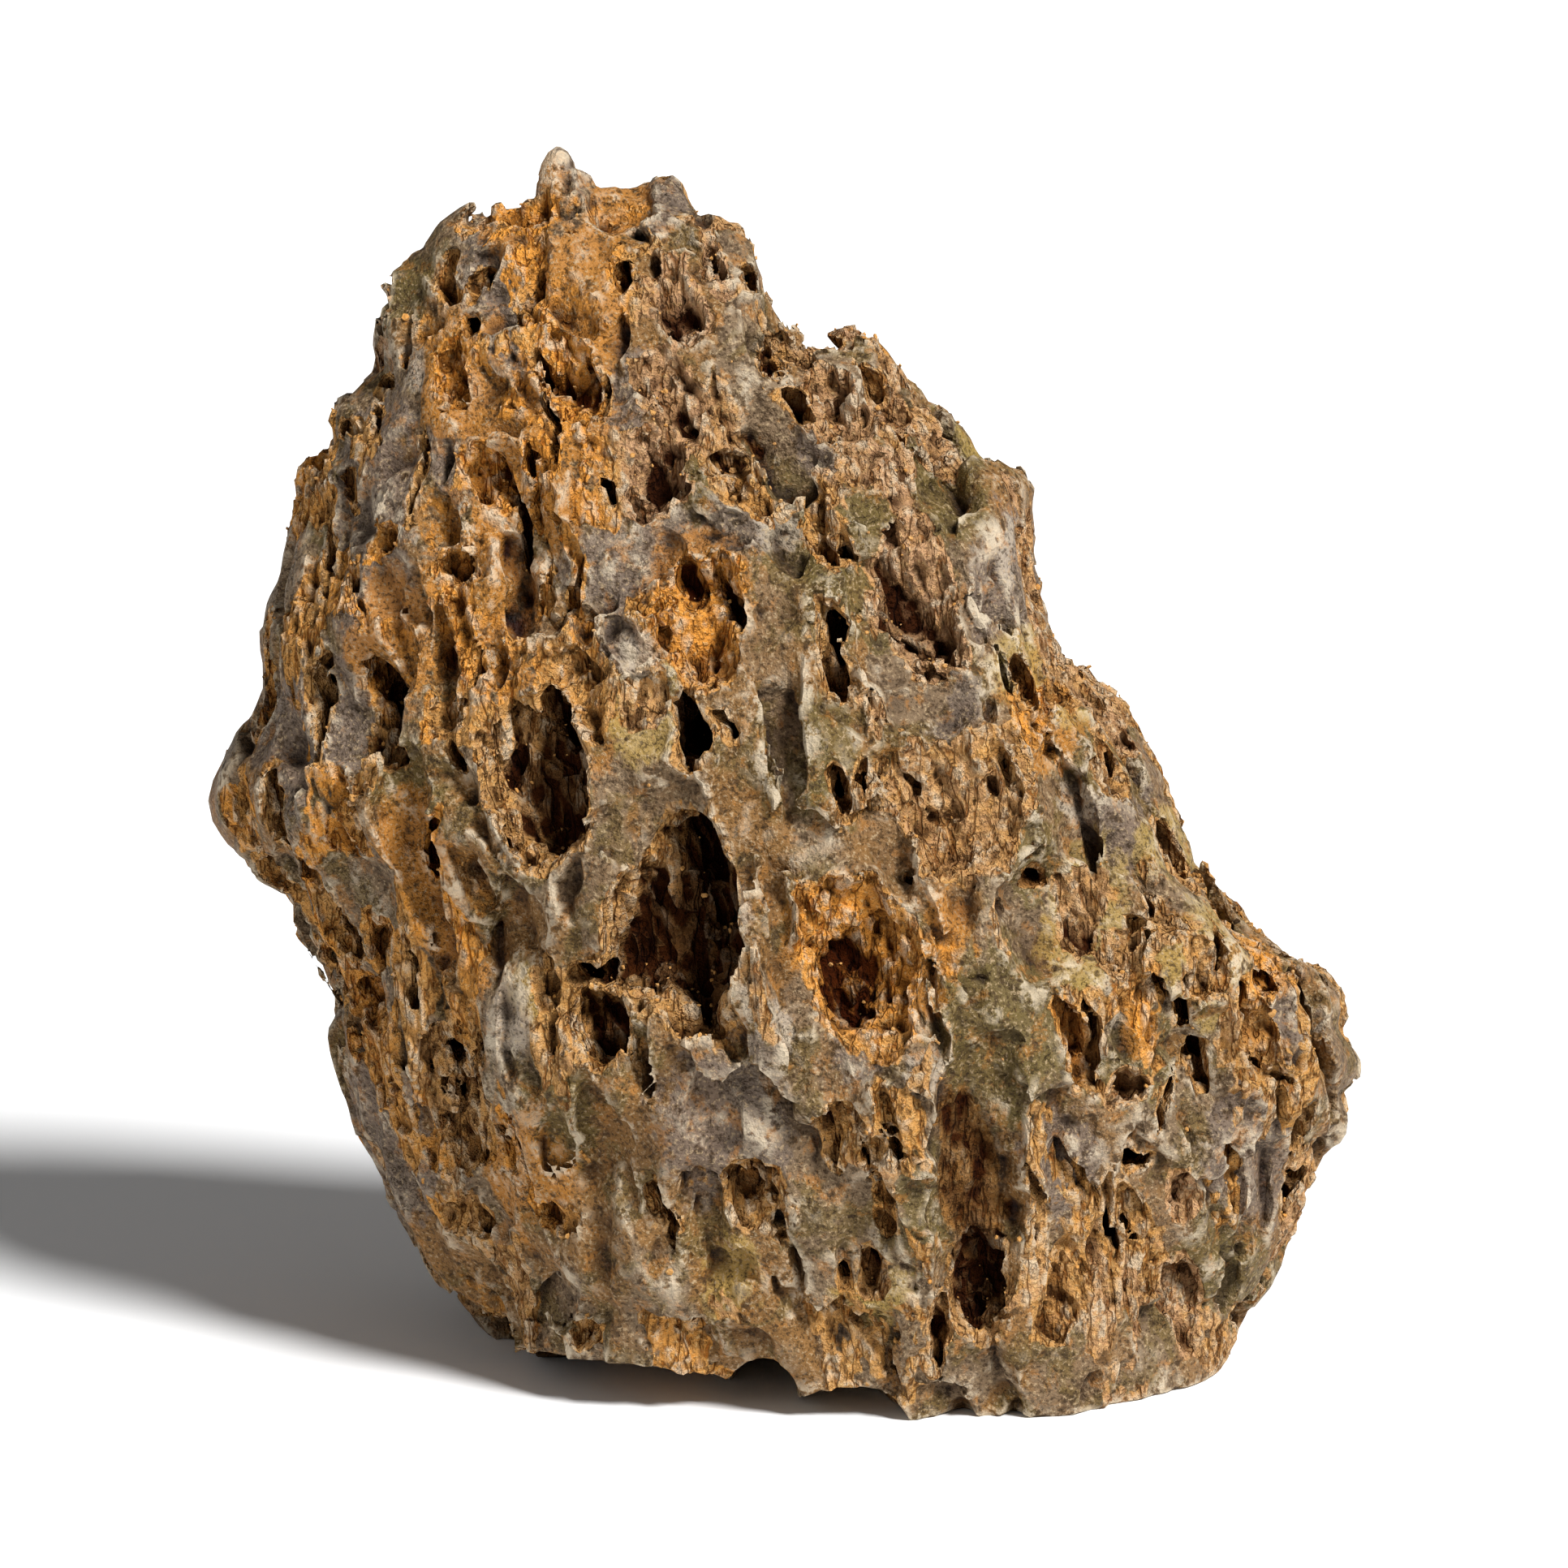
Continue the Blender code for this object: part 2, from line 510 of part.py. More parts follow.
def lump_bmesh():
    """The uncut lump: the outline's ring in the middle, and smaller rings towards front and back."""
    heart = np.array(LUMP_HEART)
    jagged, smooth = even_outline(RING_POINTS)
    bm = bmesh.new()
    rings = []
    for ring in range(1, RINGS):
        turn = math.pi * ring / RINGS
        size = math.sin(turn) ** (2 / FULLNESS)
        swell = abs(math.cos(turn)) ** (2 / FULLNESS)
        jags = max(0.0, 1 - swell * FRONT_DEPTH[1] / JAG_REACH)
        outline = smooth + (jagged - smooth) * jags
        verts = []
        for u, v in heart + (outline - heart) * size:
            depth = lump_depth(u, v, size, swell, turn < math.pi / 2)
            verts.append(bm.verts.new(waved(placed(u, v, depth))))
        rings.append(verts)
    for near, far in zip(rings, rings[1:]):
        for i in range(RING_POINTS):
            j = (i + 1) % RING_POINTS
            bm.faces.new((near[i], near[j], far[j], far[i]))
    for end, ring in ((-1, rings[0]), (1, rings[-1])):
        middle = bm.verts.new(sum((vert.co for vert in ring), Vector()) / RING_POINTS)
        for i in range(RING_POINTS):
            bm.faces.new((ring[i], ring[(i + 1) % RING_POINTS], middle)[:: -end])
    bmesh.ops.recalc_face_normals(bm, faces=bm.faces)
    return bm


def hollow_matrix(mouth, outward, up, lean, wide, tall, deep):
    """Places a unit ball so that what it cuts has this mouth on the surface and this depth."""
    across = up.cross(outward).normalized()
    axes = Matrix((across, outward.cross(across), outward)).transposed()
    axes = axes @ Matrix.Rotation(math.radians(lean), 3, "Z")
    half = deep / (1 - MOUTH_DEPTH)
    size = Matrix.Diagonal((wide / MOUTH_SHARE, tall / MOUTH_SHARE, half)) * MM
    middle = mouth + outward * (half * MOUTH_DEPTH * MM)
    return Matrix.Translation(middle) @ (axes @ size).to_4x4()


def front_hollows(lump):
    """The hollows that the front drawing shows."""
    for row in VALLEYS + CROWN + RIGHT_SHOULDER + LEFT_FLANK + MIDDLE + LOWER_RIGHT + LOWER_LEFT:
        if row.wide < SMALLEST_WIDE or row.deep < SMALLEST_DEEP:
            continue
        mouth, normal, _, _ = lump.ray_cast(EYE, sight(row.u, row.v))
        if mouth is None:
            continue
        outward = (normal + EYE_BACK - EYE_UP * HOLLOW_DROOP).normalized()
        deep = row.deep + RIM_WEAR
        yield hollow_matrix(mouth, outward, EYE_UP, row.lean, row.wide, row.tall, deep)


def side_hollows(lump):
    """Hollows all round the sides and the back, in staggered rows like the front's."""
    chance = random.Random(SIDE_SEED)
    for level in np.arange(*SIDE_LEVELS, SIDE_LEVEL_STEP):
        axis = Vector((-CORE_LEAN * level, 0, level)) * MM
        turn = chance.uniform(0, 0.3)
        while turn < 2 * math.pi:
            way = Vector((math.sin(turn), -math.cos(turn), 0))
            mouth, normal, _, _ = lump.ray_cast(axis + way * RAY_START * MM, -way)
            wide = chance.uniform(*SIDE_WIDE)
            tall = wide * chance.uniform(*SIDE_STRETCH)
            deep = chance.uniform(*SIDE_DEEP)
            lean = chance.gauss(SIDE_LEAN, SIDE_LEAN_SPREAD)
            shift = Vector([chance.uniform(-SIDE_SHIFT, SIDE_SHIFT) * MM for _ in range(3)])
            turn += chance.uniform(*SIDE_SPACING) / SIDE_RADIUS
            if mouth is None:
                continue
            facing = normal.dot(EYE_BACK)
            if facing > FRONT_FACING:
                continue
            if facing > EDGE_FACING:
                deep *= EDGE_SHALLOWNESS
            yield hollow_matrix(mouth + shift, normal, Vector((0, 0, 1)), lean, wide, tall, deep)


def undercuts():
    """Balls that cut away the stone under the raised edges of its base."""
    for middle, size in UNDERCUTS:
        yield Matrix.Translation(Vector(middle) * MM) @ (Matrix.Diagonal(size) * MM).to_4x4()


def add_object(name, bm):
    mesh = bpy.data.meshes.new(name)
    bm.to_mesh(mesh)
    bm.free()
    obj = bpy.data.objects.new(name, mesh)
    bpy.context.scene.collection.objects.link(obj)
    return obj


def add_cutter(name, matrices):
    """One helper object that holds a waved ball for each matrix."""
    ball = bmesh.new()
    bmesh.ops.create_icosphere(ball, subdivisions=HOLLOW_DETAIL, radius=1.0)
    bm = bmesh.new()
    for matrix in matrices:
        verts = [bm.verts.new(waved(matrix @ vert.co)) for vert in ball.verts]
        for face in ball.faces:
            bm.faces.new([verts[vert.index] for vert in face.verts])
    ball.free()
    return hide(add_object(name, bm))


def add_ground():
    """A helper box whose top is the plane the stone rests on."""
    size = 400 * MM
    bm = bmesh.new()
    bmesh.ops.create_cube(bm, size=size, matrix=Matrix.Translation((0, 0, -size / 2)))
    return hide(add_object("ground", bm))


def hide(obj):
    obj.hide_render = True
    obj.display_type = "WIRE"
    return obj


def cut(obj, cutter, use_self=False):
    modifier = obj.modifiers.new(cutter.name, "BOOLEAN")
    modifier.operation = "DIFFERENCE"
    modifier.object = cutter
    modifier.use_self = use_self


def stone_material():
    material = bpy.data.materials.new("mudstone")
    material.use_nodes = True
    shader = material.node_tree.nodes["Principled BSDF"]
    shader.inputs["Base Color"].default_value = STONE_COLOUR
    shader.inputs["Roughness"].default_value = 0.85
    return material


def face_groups(bm):
    """The faces in groups joined edge to edge."""
    left = set(bm.faces)
    while left:
        waiting = [left.pop()]
        group = []
        while waiting:
            face = waiting.pop()
            group.append(face)
            near = {other for edge in face.edges for other in edge.link_faces} & left
            left -= near
            waiting.extend(near)
        yield group


def finished_mesh(obj):
    """The mesh after the modifiers, without stray flakes, standing over the middle of its base."""
    bm = bmesh.new()
    bm.from_object(obj, bpy.context.evaluated_depsgraph_get())
    groups = sorted(face_groups(bm), key=len)
    bmesh.ops.delete(bm, geom=[face for group in groups[:-1] for face in group], context="FACES")
    places = np.array([vert.co for vert in bm.verts])
    middle = (places.min(axis=0) + places.max(axis=0)) / 2
    bmesh.ops.translate(bm, verts=bm.verts, vec=(-middle[0], -middle[1], 0))
    return bm


def main():
    for obj in list(bpy.data.objects):
        bpy.data.objects.remove(obj)
    bm = lump_bmesh()
    lump = BVHTree.FromBMesh(bm)
    hollows = [*front_hollows(lump), *side_hollows(lump), *undercuts()]

    rough = add_object("rough stone", bm)
    cut(rough, add_cutter("hollows", hollows), use_self=True)
    remesh = rough.modifiers.new("one skin", "REMESH")
    remesh.mode = "VOXEL"
    remesh.voxel_size = REMESH_SIZE
    facets = rough.modifiers.new("facets", "DECIMATE")
    facets.ratio = FACETS_KEPT
    facets.use_collapse_triangulate = True
    cut(rough, add_ground())

    stone = add_object("dragon_stone", finished_mesh(rough))
    stone.data.materials.append(stone_material())
    bpy.data.objects.remove(rough)


main()
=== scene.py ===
"""Aquarium dragon stone: its weathered surface, and the clay and crumbs in its hollows.

The surface is worked out as a field on a grid, in millimetres: the lump lofted from the front
outline, less the hollows, plus the slabs and ridges between them. The front drawing, in which
the outline and the hollows are given, is what the stone shows from its front, 12 degrees above
the horizon: u runs to the right from the middle and v upwards from the foot.
"""

import math
import random
from collections import namedtuple

import bmesh
import bpy
import numpy as np
from mathutils import Matrix, Vector, noise
from mathutils.bvhtree import BVHTree


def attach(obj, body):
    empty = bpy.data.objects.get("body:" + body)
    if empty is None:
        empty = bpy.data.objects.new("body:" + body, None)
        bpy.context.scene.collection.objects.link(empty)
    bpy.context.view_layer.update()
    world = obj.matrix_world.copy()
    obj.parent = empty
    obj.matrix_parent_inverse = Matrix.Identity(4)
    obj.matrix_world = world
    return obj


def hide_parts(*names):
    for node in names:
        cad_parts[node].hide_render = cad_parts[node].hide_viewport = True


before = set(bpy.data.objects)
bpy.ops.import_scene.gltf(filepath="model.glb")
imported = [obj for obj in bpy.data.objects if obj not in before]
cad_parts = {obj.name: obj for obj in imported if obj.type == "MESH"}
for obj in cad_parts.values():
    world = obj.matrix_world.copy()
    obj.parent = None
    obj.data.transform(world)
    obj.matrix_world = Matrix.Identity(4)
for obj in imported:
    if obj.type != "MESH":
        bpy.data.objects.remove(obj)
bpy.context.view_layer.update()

MM = 0.001
NODE = "dragon_stone"

# How the front drawing lies in space.
EYE_DISTANCE = 1100.0
EYE_TILT = math.radians(12)
DRAWING_MIDDLE_V = 98.6
DRAWING_MIDDLE_HEIGHT = 90.5
DRAWING_SIDE = 1932 / 8

# The lump: half its depth at five heights of the drawing, and how full its rings are.
LUMP_HEART = (-4.0, 88.0)
DEPTH_AT_V = (0, 50, 100, 150, 200)
FRONT_DEPTH = (46, 50, 46, 34, 19)
BACK_DEPTH = (51, 49, 44, 33, 20)
FULLNESS = 2.5
RINGS = 44
RING_POINTS = 360
EDGE_SETBACK = 13.0
EDGE_SETBACK_MIDDLE_U = 22.0
CREST_SETBACK = 5.0

# The outline's jags fade this far from the rim, front and back, into a smoother lump.
JAG_REACH = 32.0
JAG_SMOOTHING = 9

# Broad swells on the front and the back, away from the rim.
SWELL_HEIGHT = 7.0
SWELL_LENGTH = 44.0

# Slow waves bend the lump and its hollows, and quick ones fray the hollows' mouths.
WAVE_HEIGHT = 1.5
WAVE_LENGTH = 15.0
WAVES_APART = ((9.3, -1.5, -8.0), (0.0, 0.0, 0.0), (6.3, 11.1, -3.8))
FRAY_HEIGHT = 1.1
FRAY_LENGTH = 6.5

# The hollows round the sides and the back.
SIDE_SEED = 5
SIDE_LEVELS = (3, 190)
SIDE_LEVEL_STEP = 10.5
SIDE_RADIUS = 50.0
RAY_START = 400.0
SIDE_SPACING = 10.0
SPACING_SPREAD = (0.8, 1.25)
CORE_LEAN = 0.14
SIDE_WIDE = (3.2, 6.8)
SIDE_STRETCH = (1.2, 2.4)
SIDE_DEEP = (1.8, 5.2)
SIDE_SHIFT = 2.5
SIDE_LEAN = 12.0
SIDE_LEAN_SPREAD = 9.0
SIDE_CLAYS = (1, 1, 0.45, 0, 0)

# None of them is on what faces the eye, and they are shallower near its edge.
FRONT_FACING = 0.22
EDGE_FACING = -0.3
EDGE_SHALLOWNESS = 0.55

# Each front hollow faces between the surface and the eye and droops a little, and the depths
# in the tables, which are those below the worn rims, are taken from the uncut lump.
HOLLOW_DROOP = 0.4
RIM_WEAR = 0.8
MOUTH_DEPTH = 0.4
HOLLOW_LEFTING = 0.35

# What is neither a narrow slot nor a deep cavity is a scar, and shallow for its width.
SLOT_WIDE = 2.4
CAVITY_DEEP = 7.0
SCAR_DEPTH = 0.42
CLAY_SQUARENESS = (2.6, 2.3, 3.4)
SKIN_SQUARENESS = (2.0, 1.5, 2.2)
SKIN_SHALLOWNESS = 0.45

# The grid on which the surface is found, and the grid of slow quantities, in cells.
GRID_STEP = 0.64
GRID_LOW = (-93.6, -59.2, -2.56)
GRID_CELLS = (293, 185, 304)
SLOW_CELLS = 5
FRAY_CELLS = 3
FACES_WANTED = 196000

OUTLINE = (
    (-38, 193), (-37, 196), (-35.2, 197.2), (-33.8, 196.6), (-32.5, 195), (-30, 192),
    (-27.5, 190.6), (-24, 189.5), (-21, 190.2), (-20.3, 192), (-19.3, 193), (-17.5, 192),
    (-16, 190.5), (-15, 188), (-13.5, 185), (-12, 186), (-10.8, 186.2), (-9.5, 185),
    (-7.5, 183.5), (-6, 183.3), (-5.3, 182), (-4.4, 177.5), (-2.5, 175.5), (-0.5, 172),
    (2, 170.3), (3.3, 169.5), (4.6, 167.4), (8, 168), (10, 169.2), (12.5, 169.2),
    (15.5, 165.5), (19, 161.2), (20.5, 161.2), (23, 158.6), (24.3, 158.2), (26, 154),
    (28.3, 152.8), (30.5, 149), (33, 148.8), (34.8, 148.2), (36.5, 146), (37.4, 143),
    (37.3, 140), (38.3, 137.5), (38.7, 131), (40, 126), (40.5, 122), (42, 119),
    (43.5, 118.2), (44.8, 118.8), (47.5, 115), (52, 111), (53.2, 109), (55, 104.5),
    (60, 96.5), (61.3, 93), (63, 89), (66, 84), (69.5, 79.5), (71.5, 75.5), (74, 75),
    (78, 72.2), (80, 71.8), (83, 70), (85.3, 66), (86, 64), (84.8, 60.5), (87.9, 55),
    (87.5, 53), (84.8, 51), (86.4, 46.5), (85.5, 44.3), (83, 43), (81, 37), (78.5, 30),
    (75, 23), (70, 16.5), (68, 12.5), (67.8, 8), (67.5, 4), (64, -30), (-40, -30),
    (-44.5, 14), (-49, 18.5), (-52, 21.5), (-55, 24), (-56.5, 27.5), (-61, 35.5),
    (-63, 41), (-65.2, 44.5), (-65.5, 48), (-68.5, 56.5), (-69, 60), (-67.3, 64),
    (-68.5, 67), (-73, 74.5), (-75, 78), (-75, 81.5), (-77.5, 82.5), (-81, 84.5),
    (-82, 87.5), (-84, 88.2), (-87.5, 93.5), (-88, 96), (-87, 100), (-83.5, 106.5),
    (-80.5, 110), (-79.5, 113), (-80.3, 117), (-81.2, 122), (-80, 126), (-77, 129.5),
    (-76.5, 133), (-74.7, 139), (-74.5, 144), (-74, 147.5), (-72, 149), (-70.8, 150.4),
    (-69.4, 149.5), (-69, 153.5), (-70, 155), (-69, 157), (-67, 157.5), (-63.7, 161.5),
    (-63.2, 169.5), (-63.5, 171.5), (-62, 175), (-60, 178.3), (-58, 180), (-54, 181.3),
    (-52.5, 184), (-50, 186), (-48, 187.6), (-46.5, 187), (-45.2, 188), (-44.2, 190.5),
    (-43, 191.2), (-41.5, 190.6), (-38.8, 191.8),
)

Hollow = namedtuple("Hollow", "u v wide tall lean deep clay tone")

VALLEYS = (
    (-59, 92, 4.5, 28, 5, 8.8),
    (-42, 138, 7, 17, 14, 4.4),
    (-17, 84, 8, 19, 5, 7.7),
    (6, 66, 8, 22, 8, 6.6),
    (31, 42, 8.5, 32, 0, 8.8),
    (46, 78, 12, 12, 10, 5.5),
    (-50, 44, 6, 19, 3, 5.5),
    (-66, 113, 8, 11, 10, 6.6),
    (18, 128, 8, 14, 14, 4.4),
    (-19, 30, 3, 16, 20, 3.3),
    (-4, 158, 4, 18, 28, 3.3),
    (44, 38, 2.5, 20, -4, 5.5),
    (64, 54, 4, 13, 15, 4.4),
    (13, 28, 6, 12, 12, 3.3),
)

CROWN = (
    (-32.6, 192, 0.9, 3.2, 18, 3.9, 0, 0.5),
    (-40.5, 187, 5.2, 4.3, 5, 3.4, 1, 0.8),
    (-48.3, 184.3, 2.6, 2.6, 20, 2.3, 1, 0.7),
    (-33, 188, 3.2, 3, 0, 1.8, 0.45, 0.8),
    (-46, 179, 2.4, 3.8, -30, 3.1, 0, 0.5),
    (-25, 187.5, 4.8, 3.8, 15, 3.1, 0.45, 0.8),
    (-17, 185.5, 4.2, 5.5, 15, 1.6, 0, 0.5),
    (-24.3, 177.5, 1.7, 4.2, 15, 4.7, 0.8, 0.5),
    (-21.5, 180.7, 3, 1.5, 20, 4.7, 0.8, 0.5),
    (-16.5, 174, 4.8, 7.8, 28, 4.7, 1, 0.1),
    (-10.2, 177.5, 1.9, 4.5, 15, 2.3, 1, 0.1),
    (-6.4, 176.5, 1.9, 2.2, 0, 8, 0.8, 0.5),
    (-5, 170, 1.8, 7.5, 14, 4.7, 0, 0.5),
    (-58, 176, 4.2, 5.5, -20, 2.5, 0, 0.5),
    (-51.5, 175.5, 2.1, 3.6, 30, 4.7, 1, 0.6),
    (-47, 175.5, 1.6, 3, -25, 3.1, 1, 0.6),
    (-48.5, 168.7, 2.3, 2.6, 40, 6.2, 0.8, 0.5),
    (-58.2, 168, 1.5, 4.6, 6, 3.7, 0.45, 0.9),
    (-54, 171, 3, 4.5, 10, 1.6, 0.45, 0.6),
    (-51, 163, 3, 4.8, -15, 4, 1, 0.8),
    (-43.5, 172.5, 3.6, 5, 20, 2.5, 0, 0.5),
    (-38.9, 173, 1.4, 5, 0, 3.1, 1, 0.7),
    (-31.5, 173.8, 5.2, 6.2, 35, 1.8, 0.45, 1),
    (-32.5, 161, 4.2, 7.6, 22, 4, 1, 0.95),
    (-40, 160, 2.6, 6.4, 20, 3.1, 0.45, 0.85),
    (-36.6, 157.5, 0.9, 6, 17, 5.4, 0.8, 0.5),
    (-46.5, 161, 3.2, 5.5, -10, 2.5, 0, 0.5),
    (-50, 156.4, 4, 1.9, 0, 2.3, 0, 0.5),
    (-24, 159, 3.2, 5, 10, 2.5, 0, 0.5),
    (-27.5, 158, 1.2, 3.2, 0, 1.8, 1, 0.4),
    (-17, 158, 3.9, 8.6, 25, 4.3, 1, 0.15),
    (-12, 164.7, 4.6, 3.8, 0, 1.7, 0, 0.5),
    (-43, 157, 2.2, 1.9, 0, 2.3, 1, 0.7),
    (-62, 157, 1.5, 3.2, 20, 2.3, 1, 0.4),
    (-66.5, 154, 2.6, 3.4, 10, 3.1, 1, 0.5),
    (-61, 160.6, 2, 1.5, 20, 6.2, 0.8, 0.5),
)

RIGHT_SHOULDER = (
    (-1, 168, 1.8, 5, 30, 3.1, 1, 0.4),
    (2.5, 165, 2, 3, 30, 3.1, 1, 0.3),
    (-1, 163.6, 1.3, 2.2, 20, 6.2, 0.8, 0.5),
    (0.8, 158, 3, 1.8, -20, 7, 0.8, 0.5),
    (-7.3, 156.5, 3, 6, 38, 4, 1, 0.3),
    (-3.8, 153.5, 1.3, 2.4, 40, 2.5, 0, 0.5),
    (8, 158, 4.8, 6.6, 15, 3.1, 1, 0.2),
    (14.5, 160, 1.3, 4, 20, 6.2, 0.8, 0.5),
    (17.6, 156.5, 4, 4.2, 20, 3.1, 1, 0.2),
    (16.3, 152.3, 1.2, 2, 10, 4.7, 0.8, 0.5),
    (11.5, 166.6, 2.6, 3, 10, 1.6, 0, 0.5),
    (22, 158.4, 2.6, 2.2, 30, 1.6, 0, 0.5),
    (5.5, 151.5, 4, 4.2, -10, 2.5, 0, 0.5),
    (-7, 149, 4, 2, 10, 3.7, 0.8, 0.5),
    (20, 151.3, 3.4, 1.6, 0, 1.3, 0, 0.5),
    (24.5, 155.2, 3, 1.6, 30, 2.3, 1, 0.4),
    (28, 151.8, 2.6, 2.4, 30, 1.3, 0, 0.5),
    (25.7, 144.8, 5.8, 5.4, 25, 7, 0, 0.5),
    (17.5, 148, 2.6, 3.4, 30, 3.1, 1, 0.15),
    (34.6, 144.5, 2.2, 3.8, 0, 1.6, 0, 0.5),
    (31.8, 128, 3.4, 8.5, 4, 2.3, 0, 0.5),
    (36.8, 132.5, 1.6, 4.8, 5, 1.7, 0, 0.5),
    (37.3, 123, 2.2, 4.2, 12, 1.7, 0, 0.5),
    (24.8, 113, 5.2, 6.6, 10, 2.8, 0, 0.5),
    (31.6, 110.5, 1.9, 3.8, -20, 2.8, 0, 0.5),
    (36.6, 113.5, 2.4, 3.6, 10, 2.3, 1, 0.4),
    (43.3, 114, 3, 2.6, 30, 1.8, 1, 0.35),
    (40, 108.5, 3.2, 3, 20, 2.3, 0.45, 0.8),
    (44.6, 105, 2.6, 4.4, 22, 2.5, 0, 0.5),
    (50.5, 103, 2.2, 6.4, 14, 3.1, 1, 0.4),
    (56.6, 97.5, 1.8, 4, 22, 1.7, 0, 0.5),
)

LEFT_FLANK = (
    (-63, 145, 3.6, 7.8, -20, 2.8, 0, 0.5),
    (-55.6, 151, 0.9, 6, 5, 7.8, 0.8, 0.5),
    (-52, 148, 1.5, 4, 0, 2.5, 0, 0.5),
    (-57.4, 142.5, 0.7, 3, 0, 3.9, 0.8, 0.5),
    (-47, 146, 2.3, 7, 25, 4, 1, 0.75),
    (-45.3, 137.5, 1.9, 7.5, 14, 2.5, 0.45, 0.9),
    (-42.6, 135, 0.9, 5.4, 3, 7, 0.8, 0.5),
    (-40.5, 138.5, 1.4, 6, 6, 3.7, 1, 0.8),
    (-39.3, 146, 2.4, 6.5, 10, 4, 1, 0.8),
    (-35.4, 140.5, 0.9, 6.4, 15, 7, 0.8, 0.5),
    (-36, 148.5, 2, 4.4, 10, 3.1, 1, 0.9),
    (-34.6, 131.5, 1.5, 7, 10, 3.1, 1, 0.8),
    (-38, 127.5, 1.4, 7, 12, 6.2, 1, 0.7),
    (-53, 139, 3.2, 4.5, -5, 4.7, 0.45, 0.75),
    (-51, 131.5, 2.9, 2.4, 30, 4, 1, 0.5),
    (-62.5, 136.6, 3.4, 2.4, -30, 2.3, 1, 0.9),
    (-61.3, 129.6, 3.8, 4.4, -10, 1.7, 0, 0.5),
    (-59.3, 120, 2.8, 7.6, 14, 2.3, 0.45, 0.85),
    (-71, 136, 1.4, 10, 0, 7.8, 0.8, 0.5),
    (-72.5, 145.5, 1.4, 3.2, 0, 3.9, 1, 0.5),
    (-67.4, 141, 1.5, 9, 3, 2.3, 0, 0.5),
    (-66.3, 130.5, 1.5, 3.6, -5, 3.1, 1, 0.7),
    (-68.5, 122.4, 3, 2.2, -30, 1.8, 0, 0.5),
    (-77.5, 125.5, 2.3, 3.4, -10, 1.8, 0, 0.5),
    (-78, 117.5, 1.8, 4.5, 0, 2.3, 0, 0.5),
    (-63.6, 110, 3.2, 9.5, 15, 14.5, 0.8, 0.5),
    (-71.5, 111.5, 2.8, 8, 5, 11, 0.8, 0.5),
    (-74.6, 105.5, 3.1, 9.5, 12, 2.8, 0, 0.5),
    (-52.5, 118, 2.4, 6.5, 5, 2.3, 0.45, 0.6),
    (-47.8, 115, 0.7, 8, 0, 4.7, 0.8, 0.5),
    (-44.6, 119.5, 2, 7.2, 14, 2.8, 0.45, 0.85),
    (-41.3, 120, 1.9, 6.4, 15, 4, 1, 0.4),
    (-34, 117, 3.8, 3.8, 0, 2.5, 1, 0.6),
    (-30, 112, 2.6, 6, 20, 2.3, 1, 0.6),
    (-31, 124, 2.4, 3.6, 20, 1.8, 0.45, 0.9),
    (-52, 110, 3.4, 3.8, 20, 2.8, 1, 0.6),
    (-51.3, 103.3, 1.3, 2.8, 24, 9.2, 0.8, 0.5),
    (-36, 107, 3.6, 6.6, 22, 10.3, 0.8, 0.5),
    (-39, 99.5, 8.6, 13.4, 12, 9.5, 1, 0.45),
    (-40, 92, 2, 3, 30, 8, 0.8, 0.5),
    (-79, 94.5, 2.8, 7, 10, 11.5, 0.8, 0.5),
    (-84.7, 97, 2.6, 7, 0, 2.3, 1, 0.6),
    (-79, 86.5, 3, 3, 20, 3.1, 0.8, 0.5),
    (-67.3, 92, 2.6, 5, 12, 3.4, 1, 0.7),
    (-65.4, 94, 0.9, 5.5, 14, 6.2, 0.8, 0.5),
    (-65.3, 101, 3, 3.2, 10, 3.1, 1, 0.6),
    (-69.6, 78, 3.8, 6.2, 24, 3.1, 1, 0.55),
    (-63, 74, 2.6, 5, 0, 4, 1, 0.7),
    (-54.8, 87, 2.5, 7, -16, 7.8, 1, 0.95),
    (-57, 98.5, 3, 5.6, 5, 2.5, 0, 0.5),
    (-61.4, 93, 1.4, 7, 3, 2.3, 1, 0.6),
    (-58, 72, 0.9, 9, 4, 6.2, 0.8, 0.5),
)

